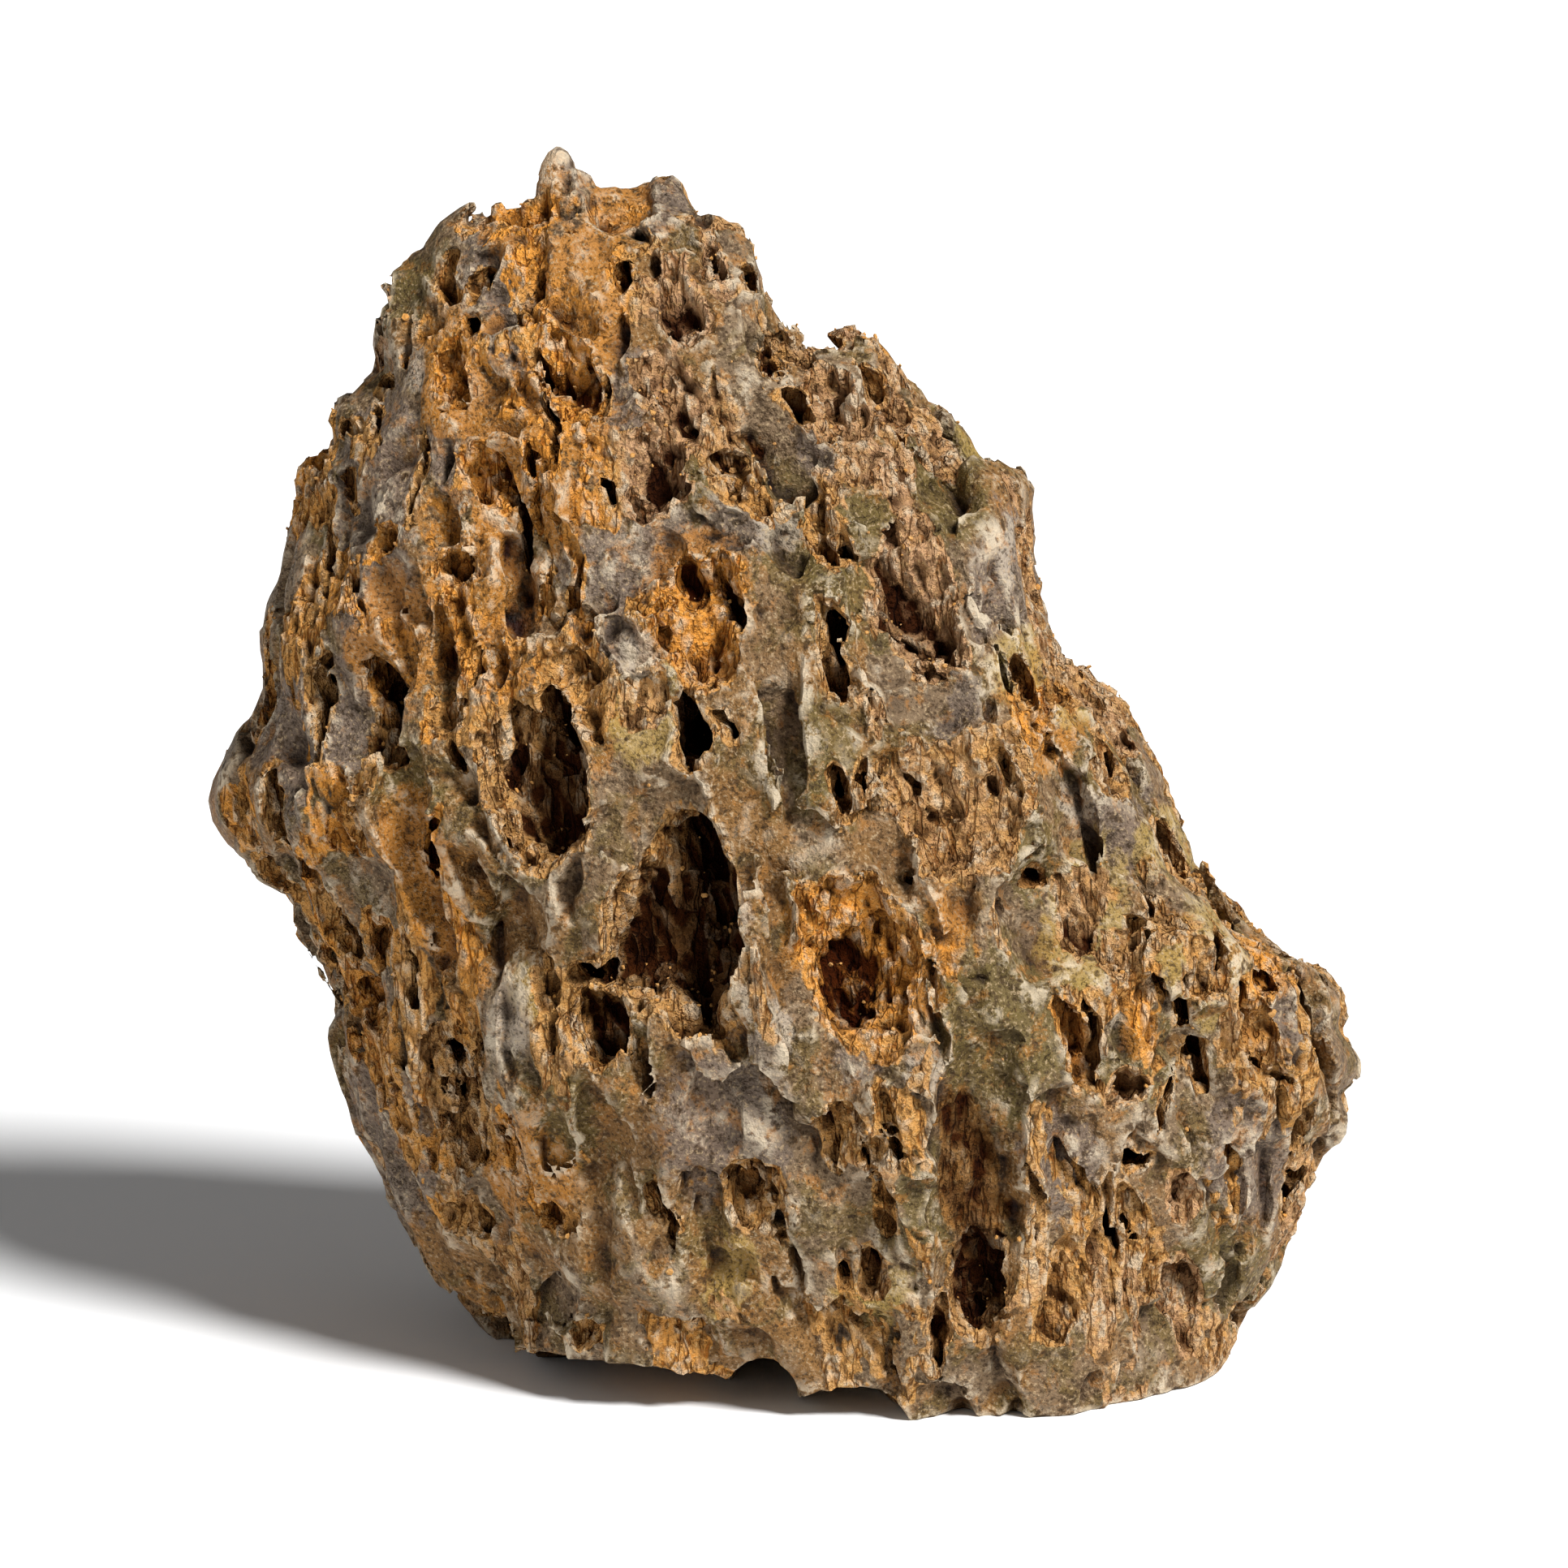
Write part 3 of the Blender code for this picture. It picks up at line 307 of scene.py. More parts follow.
MIDDLE = (
    (-29, 133, 3.8, 7.8, 20, 2.8, 0, 0.5),
    (-31, 145.5, 2.2, 3.6, -30, 2.3, 0, 0.5),
    (-20.3, 147, 5.2, 6.6, 20, 4, 1, 0.1),
    (-26.8, 142, 0.8, 3, 32, 4.7, 0.8, 0.5),
    (-19.5, 134.5, 4, 5.6, 26, 2.8, 0, 0.5),
    (-11.5, 141.5, 3.8, 5.4, 10, 2.5, 0, 0.5),
    (-8.3, 137, 2.8, 2.6, 20, 1.8, 0, 0.5),
    (-5, 143.5, 2, 4.6, 28, 2.3, 1, 0.6),
    (-12.5, 130, 5.4, 4.4, 8, 4.7, 1, 0.75),
    (-12.3, 121.5, 5.2, 7.6, 8, 5.6, 1, 0.75),
    (-8.3, 126, 1.3, 4.6, 28, 7, 0.8, 0.5),
    (-0.8, 121, 4.3, 11, -5, 2.3, 0, 0.5),
    (2.6, 139, 2.7, 6.8, 5, 2.5, 0, 0.5),
    (6.2, 139, 2, 7, 10, 4, 1, 0.6),
    (8.8, 138, 0.8, 5, 14, 6.2, 0.8, 0.5),
    (7, 120, 2.3, 7.4, 12, 14.9, 0.8, 0.5),
    (4.9, 126.5, 0.9, 2.6, 5, 6.9, 0.8, 0.5),
    (13.4, 142, 3.6, 4.4, 10, 2.5, 0, 0.5),
    (11, 130, 2.2, 8, -8, 1.8, 0, 0.5),
    (11.5, 122, 0.7, 2, 20, 4.7, 0.8, 0.5),
    (21, 127.5, 8, 12.6, 14, 7.5, 1, 0.15),
    (20.3, 138.3, 5, 2.6, 30, 2.5, 1, 0.15),
    (25.6, 128, 1.8, 6, 0, 3.7, 0, 0.5),
    (14.6, 110.6, 2.7, 5, 12, 6.2, 1, 0.25),
    (-21.6, 112, 3.3, 4.4, 5, 1.3, 1, 0.35),
    (-24, 121, 2.8, 5, 30, 2.5, 0, 0.5),
    (-18.6, 119.8, 2.8, 2.6, 0, 1.6, 0, 0.5),
    (-15, 105.8, 2.7, 8, 6, 16.1, 0.8, 0.5),
    (-9.4, 108, 1.5, 4, 30, 6.2, 0.8, 0.5),
    (-25.5, 101, 4.4, 7.2, 5, 1.7, 0, 0.5),
    (-26, 91, 5.2, 4, -30, 1.7, 0, 0.5),
    (-15.5, 86.5, 3.8, 8.4, 8, 14.9, 0.8, 0.5),
    (-14.5, 77.5, 7.4, 17, 0, 13, 1, 0.45),
    (-10.8, 74.5, 2, 8.4, 5, 9.2, 0.8, 0.5),
    (-22, 75, 7, 13.5, -22, 11, 1, 0.45),
    (-14.6, 67.6, 3.8, 4, 10, 1.6, 1, 0.5),
    (-22.5, 68, 3.2, 5, 15, 4.7, 1, 0.6),
    (-31, 69.4, 3, 2, -15, 8, 0.8, 0.5),
    (-26.6, 63, 1.6, 5.4, 0, 9.2, 0.8, 0.5),
    (-29, 61, 4.8, 7.2, 0, 8, 1, 0.55),
    (4, 91, 5, 6, -10, 1.7, 0, 0.5),
    (-5.5, 96, 4.6, 8, 14, 1.8, 0, 0.5),
    (1.2, 104, 4, 6, 0, 1.7, 0, 0.5),
    (-6, 83, 2, 7, 0, 1.7, 0, 0.5),
    (-0.6, 82, 2.6, 6, 0, 2.5, 0, 0.5),
    (8.8, 96.2, 1.4, 4, 8, 9.2, 0.8, 0.5),
    (12.6, 98, 1, 3, 5, 6.2, 0.8, 0.5),
    (17.4, 93, 3.6, 4.6, 28, 5.6, 1, 0.3),
    (28, 97, 9, 12, 12, 4.5, 1, 0.35),
    (20.6, 97, 1, 8, 22, 3.9, 0.8, 0.5),
    (33.4, 99.5, 1.2, 7.6, 22, 3.9, 0.8, 0.5),
    (24.5, 86.5, 2.8, 4, 25, 1.7, 1, 0.4),
    (36.5, 104.5, 2.2, 6.5, 14, 1.8, 1, 0.4),
    (18.5, 85, 2.6, 4, 15, 1.8, 0, 0.5),
    (11, 71, 8.8, 15.5, 9, 9.5, 1, 0.7),
    (5, 60, 4.6, 13, 8, 6.2, 1, 0.5),
    (20.8, 79, 2.4, 4.6, 0, 1.7, 0, 0.5),
    (24.5, 72.6, 2.7, 3.8, 20, 2.5, 0.45, 0.8),
)

LOWER_RIGHT = (
    (45, 97.3, 3.4, 2.4, 0, 1.6, 0, 0.5),
    (50.6, 91, 3.2, 5.4, 30, 2.3, 0, 0.5),
    (38.6, 91.5, 3.6, 3.6, 10, 1.8, 0, 0.5),
    (36.8, 86.8, 2.8, 2.6, 30, 1.8, 0, 0.5),
    (38.6, 84, 2.1, 1.9, 10, 7.8, 0.8, 0.5),
    (40.4, 76.5, 2.8, 5, 6, 6.9, 0.8, 0.5),
    (46.2, 79.5, 6.2, 8.6, 6, 6.5, 1, 0.3),
    (53.4, 74, 3.6, 5, 0, 5.3, 1, 0.35),
    (54, 77.6, 2.6, 1.3, 0, 6.9, 0.8, 0.5),
    (60, 88, 2.4, 5.6, 32, 3.1, 1, 0.4),
    (65.4, 70, 4, 5.4, 8, 3.1, 1, 0.5),
    (66.6, 69, 0.6, 5, 5, 3.7, 0.8, 0.5),
    (71.6, 67, 0.6, 5, 4, 3.7, 0.8, 0.5),
    (74, 60, 3, 6.4, 25, 3.1, 1, 0.6),
    (73.4, 70.4, 2, 3.4, 0, 1.8, 1, 0.7),
    (77.6, 62, 2.2, 6, 6, 3.4, 0, 0.5),
    (82.4, 67, 2.4, 4.2, 10, 1.8, 0, 0.5),
    (74, 53, 0.8, 5, 48, 3.7, 0.8, 0.5),
    (52.6, 60, 2.7, 5.4, 6, 3.1, 0, 0.5),
    (56.8, 62, 1.6, 4.6, -20, 2.5, 0.45, 0.6),
    (44.4, 58.4, 2.1, 5.4, 10, 3.7, 1, 0.8),
    (47.8, 60, 0.9, 6.4, 0, 3.7, 0.8, 0.5),
    (43, 42, 1.7, 9.4, -6, 6.8, 0, 0.5),
    (62.3, 61.4, 1.4, 3.4, 18, 9.2, 0.8, 0.5),
    (64, 53.4, 1.7, 5.4, 16, 8, 0.8, 0.5),
    (58.8, 49.6, 1.3, 3.2, -25, 7.8, 0.8, 0.5),
    (55, 40.7, 2, 1.9, 0, 10.3, 0.8, 0.5),
    (53, 50.5, 3.4, 2.6, -30, 2.3, 1, 0.3),
    (71.6, 43, 4.6, 8, 0, 2.6, 0, 0.5),
    (73, 30.6, 4.2, 6, -8, 2.6, 0, 0.5),
    (80, 46, 2.4, 4.2, 0, 2.5, 1, 0.4),
    (78.5, 36.5, 1.7, 3.6, -10, 1.8, 1, 0.4),
    (62.3, 34.6, 3.6, 5.2, 8, 1.8, 1, 0.15),
    (61.4, 18, 3.4, 9.4, 12, 2.3, 1, 0.2),
    (68, 23, 3, 6.6, -5, 2.3, 0, 0.5),
    (70, 17, 1.6, 4, -35, 1.8, 0, 0.5),
    (43.6, 21.6, 4, 8.4, -10, 1.8, 1, 0.5),
    (54.4, 31.6, 2.6, 5, 12, 2.8, 1, 0.5),
    (50, 30, 0.9, 8, 6, 6.2, 0.8, 0.5),
    (53, 11, 2.6, 5.8, 0, 2.5, 0, 0.5),
    (32.5, 58, 6.4, 9.6, 0, 4.7, 0, 0.5),
    (31, 39.5, 6, 8, 0, 3.9, 1, 0.35),
    (30.6, 20.5, 5.4, 9, 5, 7.8, 1, 0.4),
    (34, 5.5, 3.4, 4, 0, 2.3, 0, 0.5),
    (29.5, 71.8, 3.4, 6.4, 0, 1.8, 0, 0.5),
    (36.5, 74, 2.2, 6.6, 18, 2.3, 1, 0.4),
    (48.4, 6.4, 1.6, 3.8, -25, 4, 0, 0.5),
    (41.5, 6.5, 3.2, 5.4, 0, 1.8, 0, 0.5),
)

LOWER_LEFT = (
    (-65, 60.5, 3, 5, 0, 2.3, 0, 0.5),
    (-60.6, 44, 2.5, 9.6, 14, 1.8, 0, 0.5),
    (-53.5, 27.5, 2.6, 8.6, 38, 1.8, 0, 0.5),
    (-52, 48.5, 5.2, 12.4, 4, 7, 1, 0.45),
    (-51.8, 57, 2.9, 2.6, 0, 10.3, 0.8, 0.5),
    (-53.8, 51, 0.9, 2.2, 0, 7.8, 0.8, 0.5),
    (-46.6, 48, 1.4, 13.5, 3, 6.2, 0.8, 0.5),
    (-58.6, 58, 1.5, 4.4, -10, 3.7, 0.45, 0.5),
    (-50, 32.6, 2.6, 3.4, 0, 2.8, 1, 0.5),
    (-46, 30.6, 1.6, 4.6, 8, 2.5, 1, 0.5),
    (-48.4, 30.6, 0.7, 4.6, 0, 4.7, 0.8, 0.5),
    (-43.7, 22.4, 0.9, 4, 14, 6.2, 0.8, 0.5),
    (-47, 19.6, 2.3, 4.6, 18, 2.3, 0.45, 0.7),
    (-41.5, 42, 1.6, 8.6, 5, 1.8, 1, 0.85),
    (-34.5, 31, 3.3, 3.2, 40, 1.3, 1, 0.55),
    (-35.4, 44.6, 3.4, 7.4, 0, 1.6, 0, 0.5),
    (-27, 44.6, 3.6, 9, 0, 1.7, 0, 0.5),
    (-36, 20.6, 4.6, 5.6, 5, 1.7, 0, 0.5),
    (-37, 68, 2, 4.6, 5, 2.5, 1, 0.5),
    (-35.6, 60.4, 1.6, 3.8, 5, 2.8, 1, 0.5),
    (-47.6, 84, 2, 5, 14, 2.5, 0.45, 0.7),
    (-52.6, 74, 1.9, 4.6, 4, 1.8, 0.45, 0.9),
    (-40.6, 78, 4.6, 6.6, 0, 1.7, 0, 0.5),
    (-42.6, 60, 1.9, 7.4, 0, 1.7, 0, 0.5),
    (-18, 54, 5.2, 5.4, 24, 1.8, 0, 0.5),
    (-9.6, 48, 4.6, 7.4, 6, 1.8, 0, 0.5),
    (-4, 34.6, 5.6, 6.8, 6, 2.5, 1, 0.5),
    (-6, 23.6, 3.8, 3, 0, 1.3, 0, 0.5),
    (-8.6, 60.6, 2.7, 5, 0, 1.8, 0.45, 0.5),
    (-13.5, 34.5, 2.2, 5.6, 0, 1.7, 0.45, 0.4),
    (-22.6, 21, 5.4, 9, 12, 1.7, 0, 0.5),
    (-18, 31.6, 1.3, 6.4, 24, 4.7, 0.8, 0.5),
    (10.2, 43.6, 3, 6.8, 14, 3.1, 1, 0.5),
    (7.6, 41, 0.7, 5, 14, 5.3, 0.8, 0.5),
    (11.8, 41, 0.6, 4, 10, 4.7, 0.8, 0.5),
    (13, 61.6, 2.3, 4.8, 0, 1.8, 0, 0.5),
    (18.8, 65.6, 2, 6.6, 0, 1.7, 1, 0.85),
    (15.8, 47, 2, 6.8, 4, 3.1, 1, 0.6),
    (22, 33, 3.4, 5.8, 20, 1.8, 0, 0.5),
    (14.6, 31.6, 2.2, 5.6, 16, 3.1, 1, 0.6),
    (9.3, 22.6, 1.5, 2.5, 12, 7.8, 0.8, 0.5),
    (13.3, 22.4, 2.2, 3.6, -8, 4.7, 1, 0.4),
    (16, 10, 4, 6, 0, 1.7, 0, 0.5),
    (24, 13, 2, 7, 8, 2.5, 1, 0.4),
    (24.8, 4, 2.4, 2.4, 0, 3.1, 0, 0.5),
    (-31, 13.6, 3.6, 2.6, 10, 6.2, 0.8, 0.5),
)

HOLLOWS = (CROWN, RIGHT_SHOULDER, LEFT_FLANK, MIDDLE, LOWER_RIGHT, LOWER_LEFT)


# Ellipsoids under the raised edges of the base: middle and half sizes.
UNDERCUTS = (
    ((-36, -46, -6), (42, 46, 15)),
    ((-3, -36, 1), (6, 32, 8)),
    ((9, -46, -1), (10, 26, 6)),
    ((26.6, -46, -1), (3, 14, 5)),
    ((48, -44, -1), (3, 12, 5)),
    ((70, 20, -8), (30, 24, 20)),
    ((-40, 50, -8), (26, 26, 18)),
    ((30, 56, -4), (24, 22, 12)),
)

# Plates and flakes: their size, seed, how far they step and tilt, and how hollow they are.
PLATES = ((9.0, 10.0, 23.0), 3, 2.6, 6.5, 0.2)
FLAKES = ((3.6, 3.8, 11.0), 4, 1.0, 1.3, 0.4)
CHIPS = ((1.7, 1.8, 4.5), 12, 0.55, 0.8, 0.2)
SCALE_SLOPE = (0.8, 0.0, 0.6)
PLATE_RISE = 0.9

# Round a clay hollow, the surface keeps this share of its height, within this distance.
RIM_KEPT = 0.7
RIM_REACH = 2.6
PLATE_BAND = 5.0

# Upright fins: their height, and their size across, in depth and along.
FIN_HEIGHT = 2.6
FIN_SIZE = (9.0, 9.0, 36.0)

# Knobs on the crest: their place on the drawing with its depth, and their half sizes.
KNOBS = (
    ((-35.3, 189.6, 6.0), (3.0, 3.4, 7.4)),
    ((-18.4, 186.5, 6.0), (3.4, 3.2, 6.2)),
)

# Half the side of the boxes in which the share of solid is taken.
CROWDING = {"edge": 0.7, "tight": 1.4, "wide": 4.8, "broad": 9.6}

# Round these places on the drawing, how much of the surface is clay, and its tone.
REGIONS = (
    (-35, 197, 0.0, 0.5), (-18, 195, 0.0, 0.5), (-40, 186, 0.49, 1.0), (-31, 174, 0.49, 0.9),
    (-58, 172, 0.14, 0.6), (-17, 173, 0.42, 0.1), (-51, 160, 0.42, 0.9), (-18, 153, 0.49, 0.1),
    (12, 160, 0.42, 0.05), (20, 134, 0.35, 0.1), (-11, 128, 0.42, 0.7), (-41, 142, 0.56, 0.85),
    (-61, 144, 0.21, 0.8), (-73, 138, 0.42, 0.9), (-51, 115, 0.49, 0.8), (29, 122, 0.14, 0.3),
    (25, 97, 0.42, 0.3), (4, 107, 0.1, 0.4), (-23, 100, 0.14, 0.6), (-71, 107, 0.28, 0.8),
    (-64, 88, 0.49, 0.9), (44, 100, 0.28, 0.5), (54, 88, 0.35, 0.5), (-46, 63, 0.28, 0.7),
    (-33, 44, 0.35, 0.6), (-14, 50, 0.1, 0.5), (4, 32, 0.14, 0.5), (32, 32, 0.49, 0.4),
    (60, 44, 0.28, 0.4), (74, 57, 0.21, 0.6), (60, 25, 0.28, 0.3), (-46, 32, 0.28, 0.6),
    (-27, 17, 0.28, 0.6), (0, 80, 0.14, 0.5),
)

CRUMB_SEED = 11
CRUMBS = 2000
CRUMB_SIZE = 0.23
CREASE_ANGLE = 30.0

# What colours each stain, how strongly, and where on the drawing: u, v and radius.
STAIN_COLOURS = {
    "olive": ((0.11, 0.078, 0.022, 1), 0.8),
    "violet": ((0.15, 0.11, 0.083, 1), 0.85),
    "orange": ((0.42, 0.17, 0.026, 1), 0.75),
    "yellow": ((0.36, 0.24, 0.06, 1), 0.6),
    "pale": ((0.42, 0.35, 0.27, 1), 0.6),
}
STAINS = {
    "olive": (
        (28, 152, 4), (44.5, 105, 5), (37, 88, 4), (52.5, 59, 5), (68, 25, 6), (22, 33, 6),
        (11.5, 130, 6), (2, 139, 6), (-11, 141, 6), (6, 103, 6), (-67.5, 141, 6), (-58, 175, 5),
        (26, 145, 6), (32, 59, 9), (-57, 98, 5), (13, 141.5, 5), (-35, 45, 7),
    ),
    "violet": (
        (-8, 137, 4), (51, 91, 6), (77.5, 62, 5), (-61.5, 129.5, 6), (43, 42, 6), (5.5, 151.5, 5),
        (-10, 48, 8), (13, 62, 5), (-52, 148, 4), (-46, 179.5, 4), (-24, 121, 5), (34, 128, 7),
        (-73, 107, 8), (72, 43, 8), (-60, 43, 8), (-35, 195, 5), (-19, 190, 5), (-63, 145, 7),
        (-24, 159, 5), (-43.5, 172, 5), (-28, 133, 6), (-19, 135, 6), (26, 108, 4),
    ),
    "orange": (
        (-30, 175, 7), (-33, 160, 8), (-42, 185, 6), (-27, 188, 5), (-47, 130, 8), (-40, 145, 8),
        (-55, 88, 5), (-52, 74, 5), (-60, 120, 6), (-36, 35, 5), (19, 66, 5), (24.5, 73, 4),
        (53, 61, 3), (-48, 160, 6), (40, 108, 5), (-45, 120, 6), (75, 68, 4), (-40, 40, 4),
        (10, 75, 7), (-13, 126, 7),
    ),
    "yellow": (
        (28, 152, 3), (-22, 112, 5), (-6, 24, 4), (13, 22, 4), (36, 113, 4), (43, 114, 4),
        (65, 70, 5), (60, 88, 5), (45, 75, 6), (48, 84, 5), (-37, 68, 3),
    ),
    "pale": (
        (-20, 121, 3), (-41, 65, 4), (20.5, 52, 2.5), (45, 97, 3), (-2, 138, 2.5), (49, 66, 3),
        (-6, 78, 3), (70, 5, 4), (-2.5, 62, 3), (35, 133, 2.5), (-57, 160, 3), (-45, 57, 3),
    ),
}

SKIN_GREY = (0.165, 0.108, 0.06, 1)
SKIN_BROWN = (0.2, 0.1, 0.03, 1)
SKIN_OLIVE = (0.13, 0.083, 0.025, 1)
SKIN_DARK = (0.035, 0.018, 0.006, 1)
SKIN_PALE = (0.4, 0.29, 0.165, 1)
SKIN_RUST = (0.34, 0.14, 0.025, 1)
CLAY_PINK = (0.5, 0.29, 0.155, 1)
CLAY_OCHRE = (0.5, 0.26, 0.082, 1)
CLAY_ORANGE = (0.7, 0.29, 0.05, 1)
CLAY_BROWN = (0.13, 0.052, 0.014, 1)
CLAY_SAND = (0.7, 0.47, 0.21, 1)
# Painted light: a pale highlight on sharp crests, and painted shade multiplied into the deep places and
# grooves, the hollows and the cracks.
CREST_HIGHLIGHT = (0.6, 0.5, 0.36, 1)
DEEP_SHADE = (0.08, 0.04, 0.02, 1)
HOLLOW_SHADE = (0.45, 0.32, 0.22, 1)
CRACK_SHADE = (0.5, 0.37, 0.25, 1)

# Dull surfaces: how much of the light they mirror.
SKIN_SHINE = 0.16
CLAY_SHINE = 0.05

# The jags of the hollows' rims: the size, seed and shift of the cells they follow.
JAGS = ((4.6, 5.0, 9.0), 8, 1.3)

# The lights: name, where from, strength and softness in degrees.
LIGHTS = (
    ("key light", (0.7, -0.72, 1.05), 5.7, 16),
    ("fill light", (-0.8, -0.7, 0.4), 0.3, 60),
)
SKY_STRENGTH = 0.14
FLOOR_SIZE = 12.0

EYE_BACK = np.array((0, -math.cos(EYE_TILT), math.sin(EYE_TILT)))
EYE_UP = np.array((0, math.sin(EYE_TILT), math.cos(EYE_TILT)))
EYE = np.array((0, 0, DRAWING_MIDDLE_HEIGHT)) + EYE_BACK * EYE_DISTANCE


def sight(u, v):
    """The direction from the eye through a point of the front drawing."""
    way = np.array((u, 0, 0)) + EYE_UP * (v - DRAWING_MIDDLE_V) - EYE_BACK * EYE_DISTANCE
    return way / np.linalg.norm(way)


def placed(u, v, depth):
    """The point in space that the drawing shows at u, v and that lies depth behind the middle."""
    way = sight(u, v)
    return EYE + way * ((depth - EYE[1]) / way[1])


def drawn(points):
    """Where points in space are seen on the drawing."""
    seen = points - EYE
    scale = EYE_DISTANCE / (seen @ -EYE_BACK)
    return seen[..., 0] * scale, DRAWING_MIDDLE_V + (seen @ EYE_UP) * scale


def waves(points, height, length):
    """Noise vectors at points."""
    flat = points.reshape(-1, 3) / length
    found = [[noise.noise(spot) for spot in (flat + apart).tolist()] for apart in np.array(WAVES_APART)]
    return np.array(found, np.float32).T.reshape(points.shape) * height


def even_outline(count):
    """The outline's points, spread evenly along it, and the same with its jags smoothed away."""
    corners = np.array(OUTLINE + OUTLINE[:1], float)
    along = np.concatenate([[0], np.cumsum(np.hypot(*np.diff(corners, axis=0).T))])
    steps = np.linspace(0, along[-1], count, endpoint=False)
    jagged = np.stack([np.interp(steps, along, corners[:, i]) for i in (0, 1)], axis=1)
    smooth = jagged
    for _ in range(JAG_SMOOTHING):
        smooth = (np.roll(smooth, 1, axis=0) + 2 * smooth + np.roll(smooth, -1, axis=0)) / 4
    return jagged, smooth


def swell(u, v, side):
    """The broad swells at points of the drawing, on the front (0) or the back (1)."""
    spots = np.stack([u, v, np.full_like(u, 300.0 * side)], axis=-1) / SWELL_LENGTH
    flat = [noise.noise(spot) for spot in spots.reshape(-1, 3).tolist()]
    return np.array(flat, np.float32).reshape(u.shape) * SWELL_HEIGHT


def setback(u, v):
    return EDGE_SETBACK * ((u - EDGE_SETBACK_MIDDLE_U) / 100) ** 2 + CREST_SETBACK * (v / 200) ** 2


def lump_tree():
    """The uncut lump as a mesh that rays can hit, ring by ring as in the solid."""
    heart = np.array(LUMP_HEART)
    jagged, smooth = even_outline(RING_POINTS)
    points = []
    for ring in range(1, RINGS):
        turn = math.pi * ring / RINGS
        size = math.sin(turn) ** (2 / FULLNESS)
        bulge = abs(math.cos(turn)) ** (2 / FULLNESS)
        front = turn < math.pi / 2
        jags = max(0.0, 1 - bulge * FRONT_DEPTH[1] / JAG_REACH)
        u, v = (heart + (smooth + (jagged - smooth) * jags - heart) * size).T
        half = np.interp(v, DEPTH_AT_V, FRONT_DEPTH if front else BACK_DEPTH)
        reach = half * bulge + swell(u, v, 0 if front else 1) * (1 - size**4)
        depth = setback(u, v) + (-reach if front else reach)
        points += [placed(*spot) for spot in zip(u, v, depth)]
    points = np.array(points)
    points += waves(points, WAVE_HEIGHT, WAVE_LENGTH)
    faces = []
    for ring in range(RINGS - 2):
        for i in range(RING_POINTS):
            near, far = ring * RING_POINTS + i, ring * RING_POINTS + (i + 1) % RING_POINTS
            faces.append((near, far, far + RING_POINTS, near + RING_POINTS))
    faces.append(tuple(range(RING_POINTS))[::-1])
    faces.append(tuple(range((RINGS - 2) * RING_POINTS, (RINGS - 1) * RING_POINTS)))
    return BVHTree.FromPolygons(points.tolist(), faces)


def hollow_frame(spot, outward, up, lean, wide, tall, deep, squareness):
    """The middle of a hollow's ball, and the matrix that takes space to the ball's own frame."""
    across = np.cross(up, outward)
    across /= np.linalg.norm(across)
    axes = np.stack([across, np.cross(outward, across), outward], axis=1)
    turn = math.radians(lean)
    axes = axes @ np.array(
        ((math.cos(turn), -math.sin(turn), 0), (math.sin(turn), math.cos(turn), 0), (0, 0, 1))
    )
    mouth = 1 - MOUTH_DEPTH ** squareness[2]
    half = deep / (1 - MOUTH_DEPTH)
    half_wide = wide / mouth ** (1 / squareness[0])
    half_tall = tall / mouth ** (1 / squareness[1])
    sizes = np.array((half_wide, half_tall, half))
    return spot + outward * half * MOUTH_DEPTH, (axes / sizes).T, sizes, axes


Ball = namedtuple("Ball", "middle inward reach size squareness clay tone")


def ball(mouth, outward, up, lean, wide, tall, deep, clay, tone):
    squareness = CLAY_SQUARENESS if clay else SKIN_SQUARENESS
    deep *= SKIN_SHALLOWNESS + (1 - SKIN_SHALLOWNESS) * min(1, 1.5 * clay)
    middle, inward, sizes, axes = hollow_frame(mouth, outward, up, lean, wide, tall, deep, squareness)
    reach = np.abs(axes * sizes).sum(axis=1)
    return Ball(middle, inward, reach, sizes.min(), squareness, clay, tone)


def front_balls(lump):
    """The hollows that the front drawing shows."""
    rows = [Hollow(*row, 0.3, 0.5) for row in VALLEYS]
    rows += [Hollow(*row) for table in HOLLOWS for row in table]
    for row in rows:
        mouth, normal, _, _ = lump.ray_cast(EYE, sight(row.u, row.v))
        if mouth is None:
            continue
        outward = np.array(normal) + EYE_BACK - EYE_UP * HOLLOW_DROOP
        outward[0] -= HOLLOW_LEFTING
        outward /= np.linalg.norm(outward)
        deep = row.deep
        if row.wide > SLOT_WIDE and row.deep < CAVITY_DEEP:
            deep = min(deep, SCAR_DEPTH * row.wide + 1)
        deep += RIM_WEAR
        shape = (row.lean, row.wide, row.tall, deep)
        yield ball(np.array(mouth), outward, EYE_UP, *shape, row.clay, row.tone)


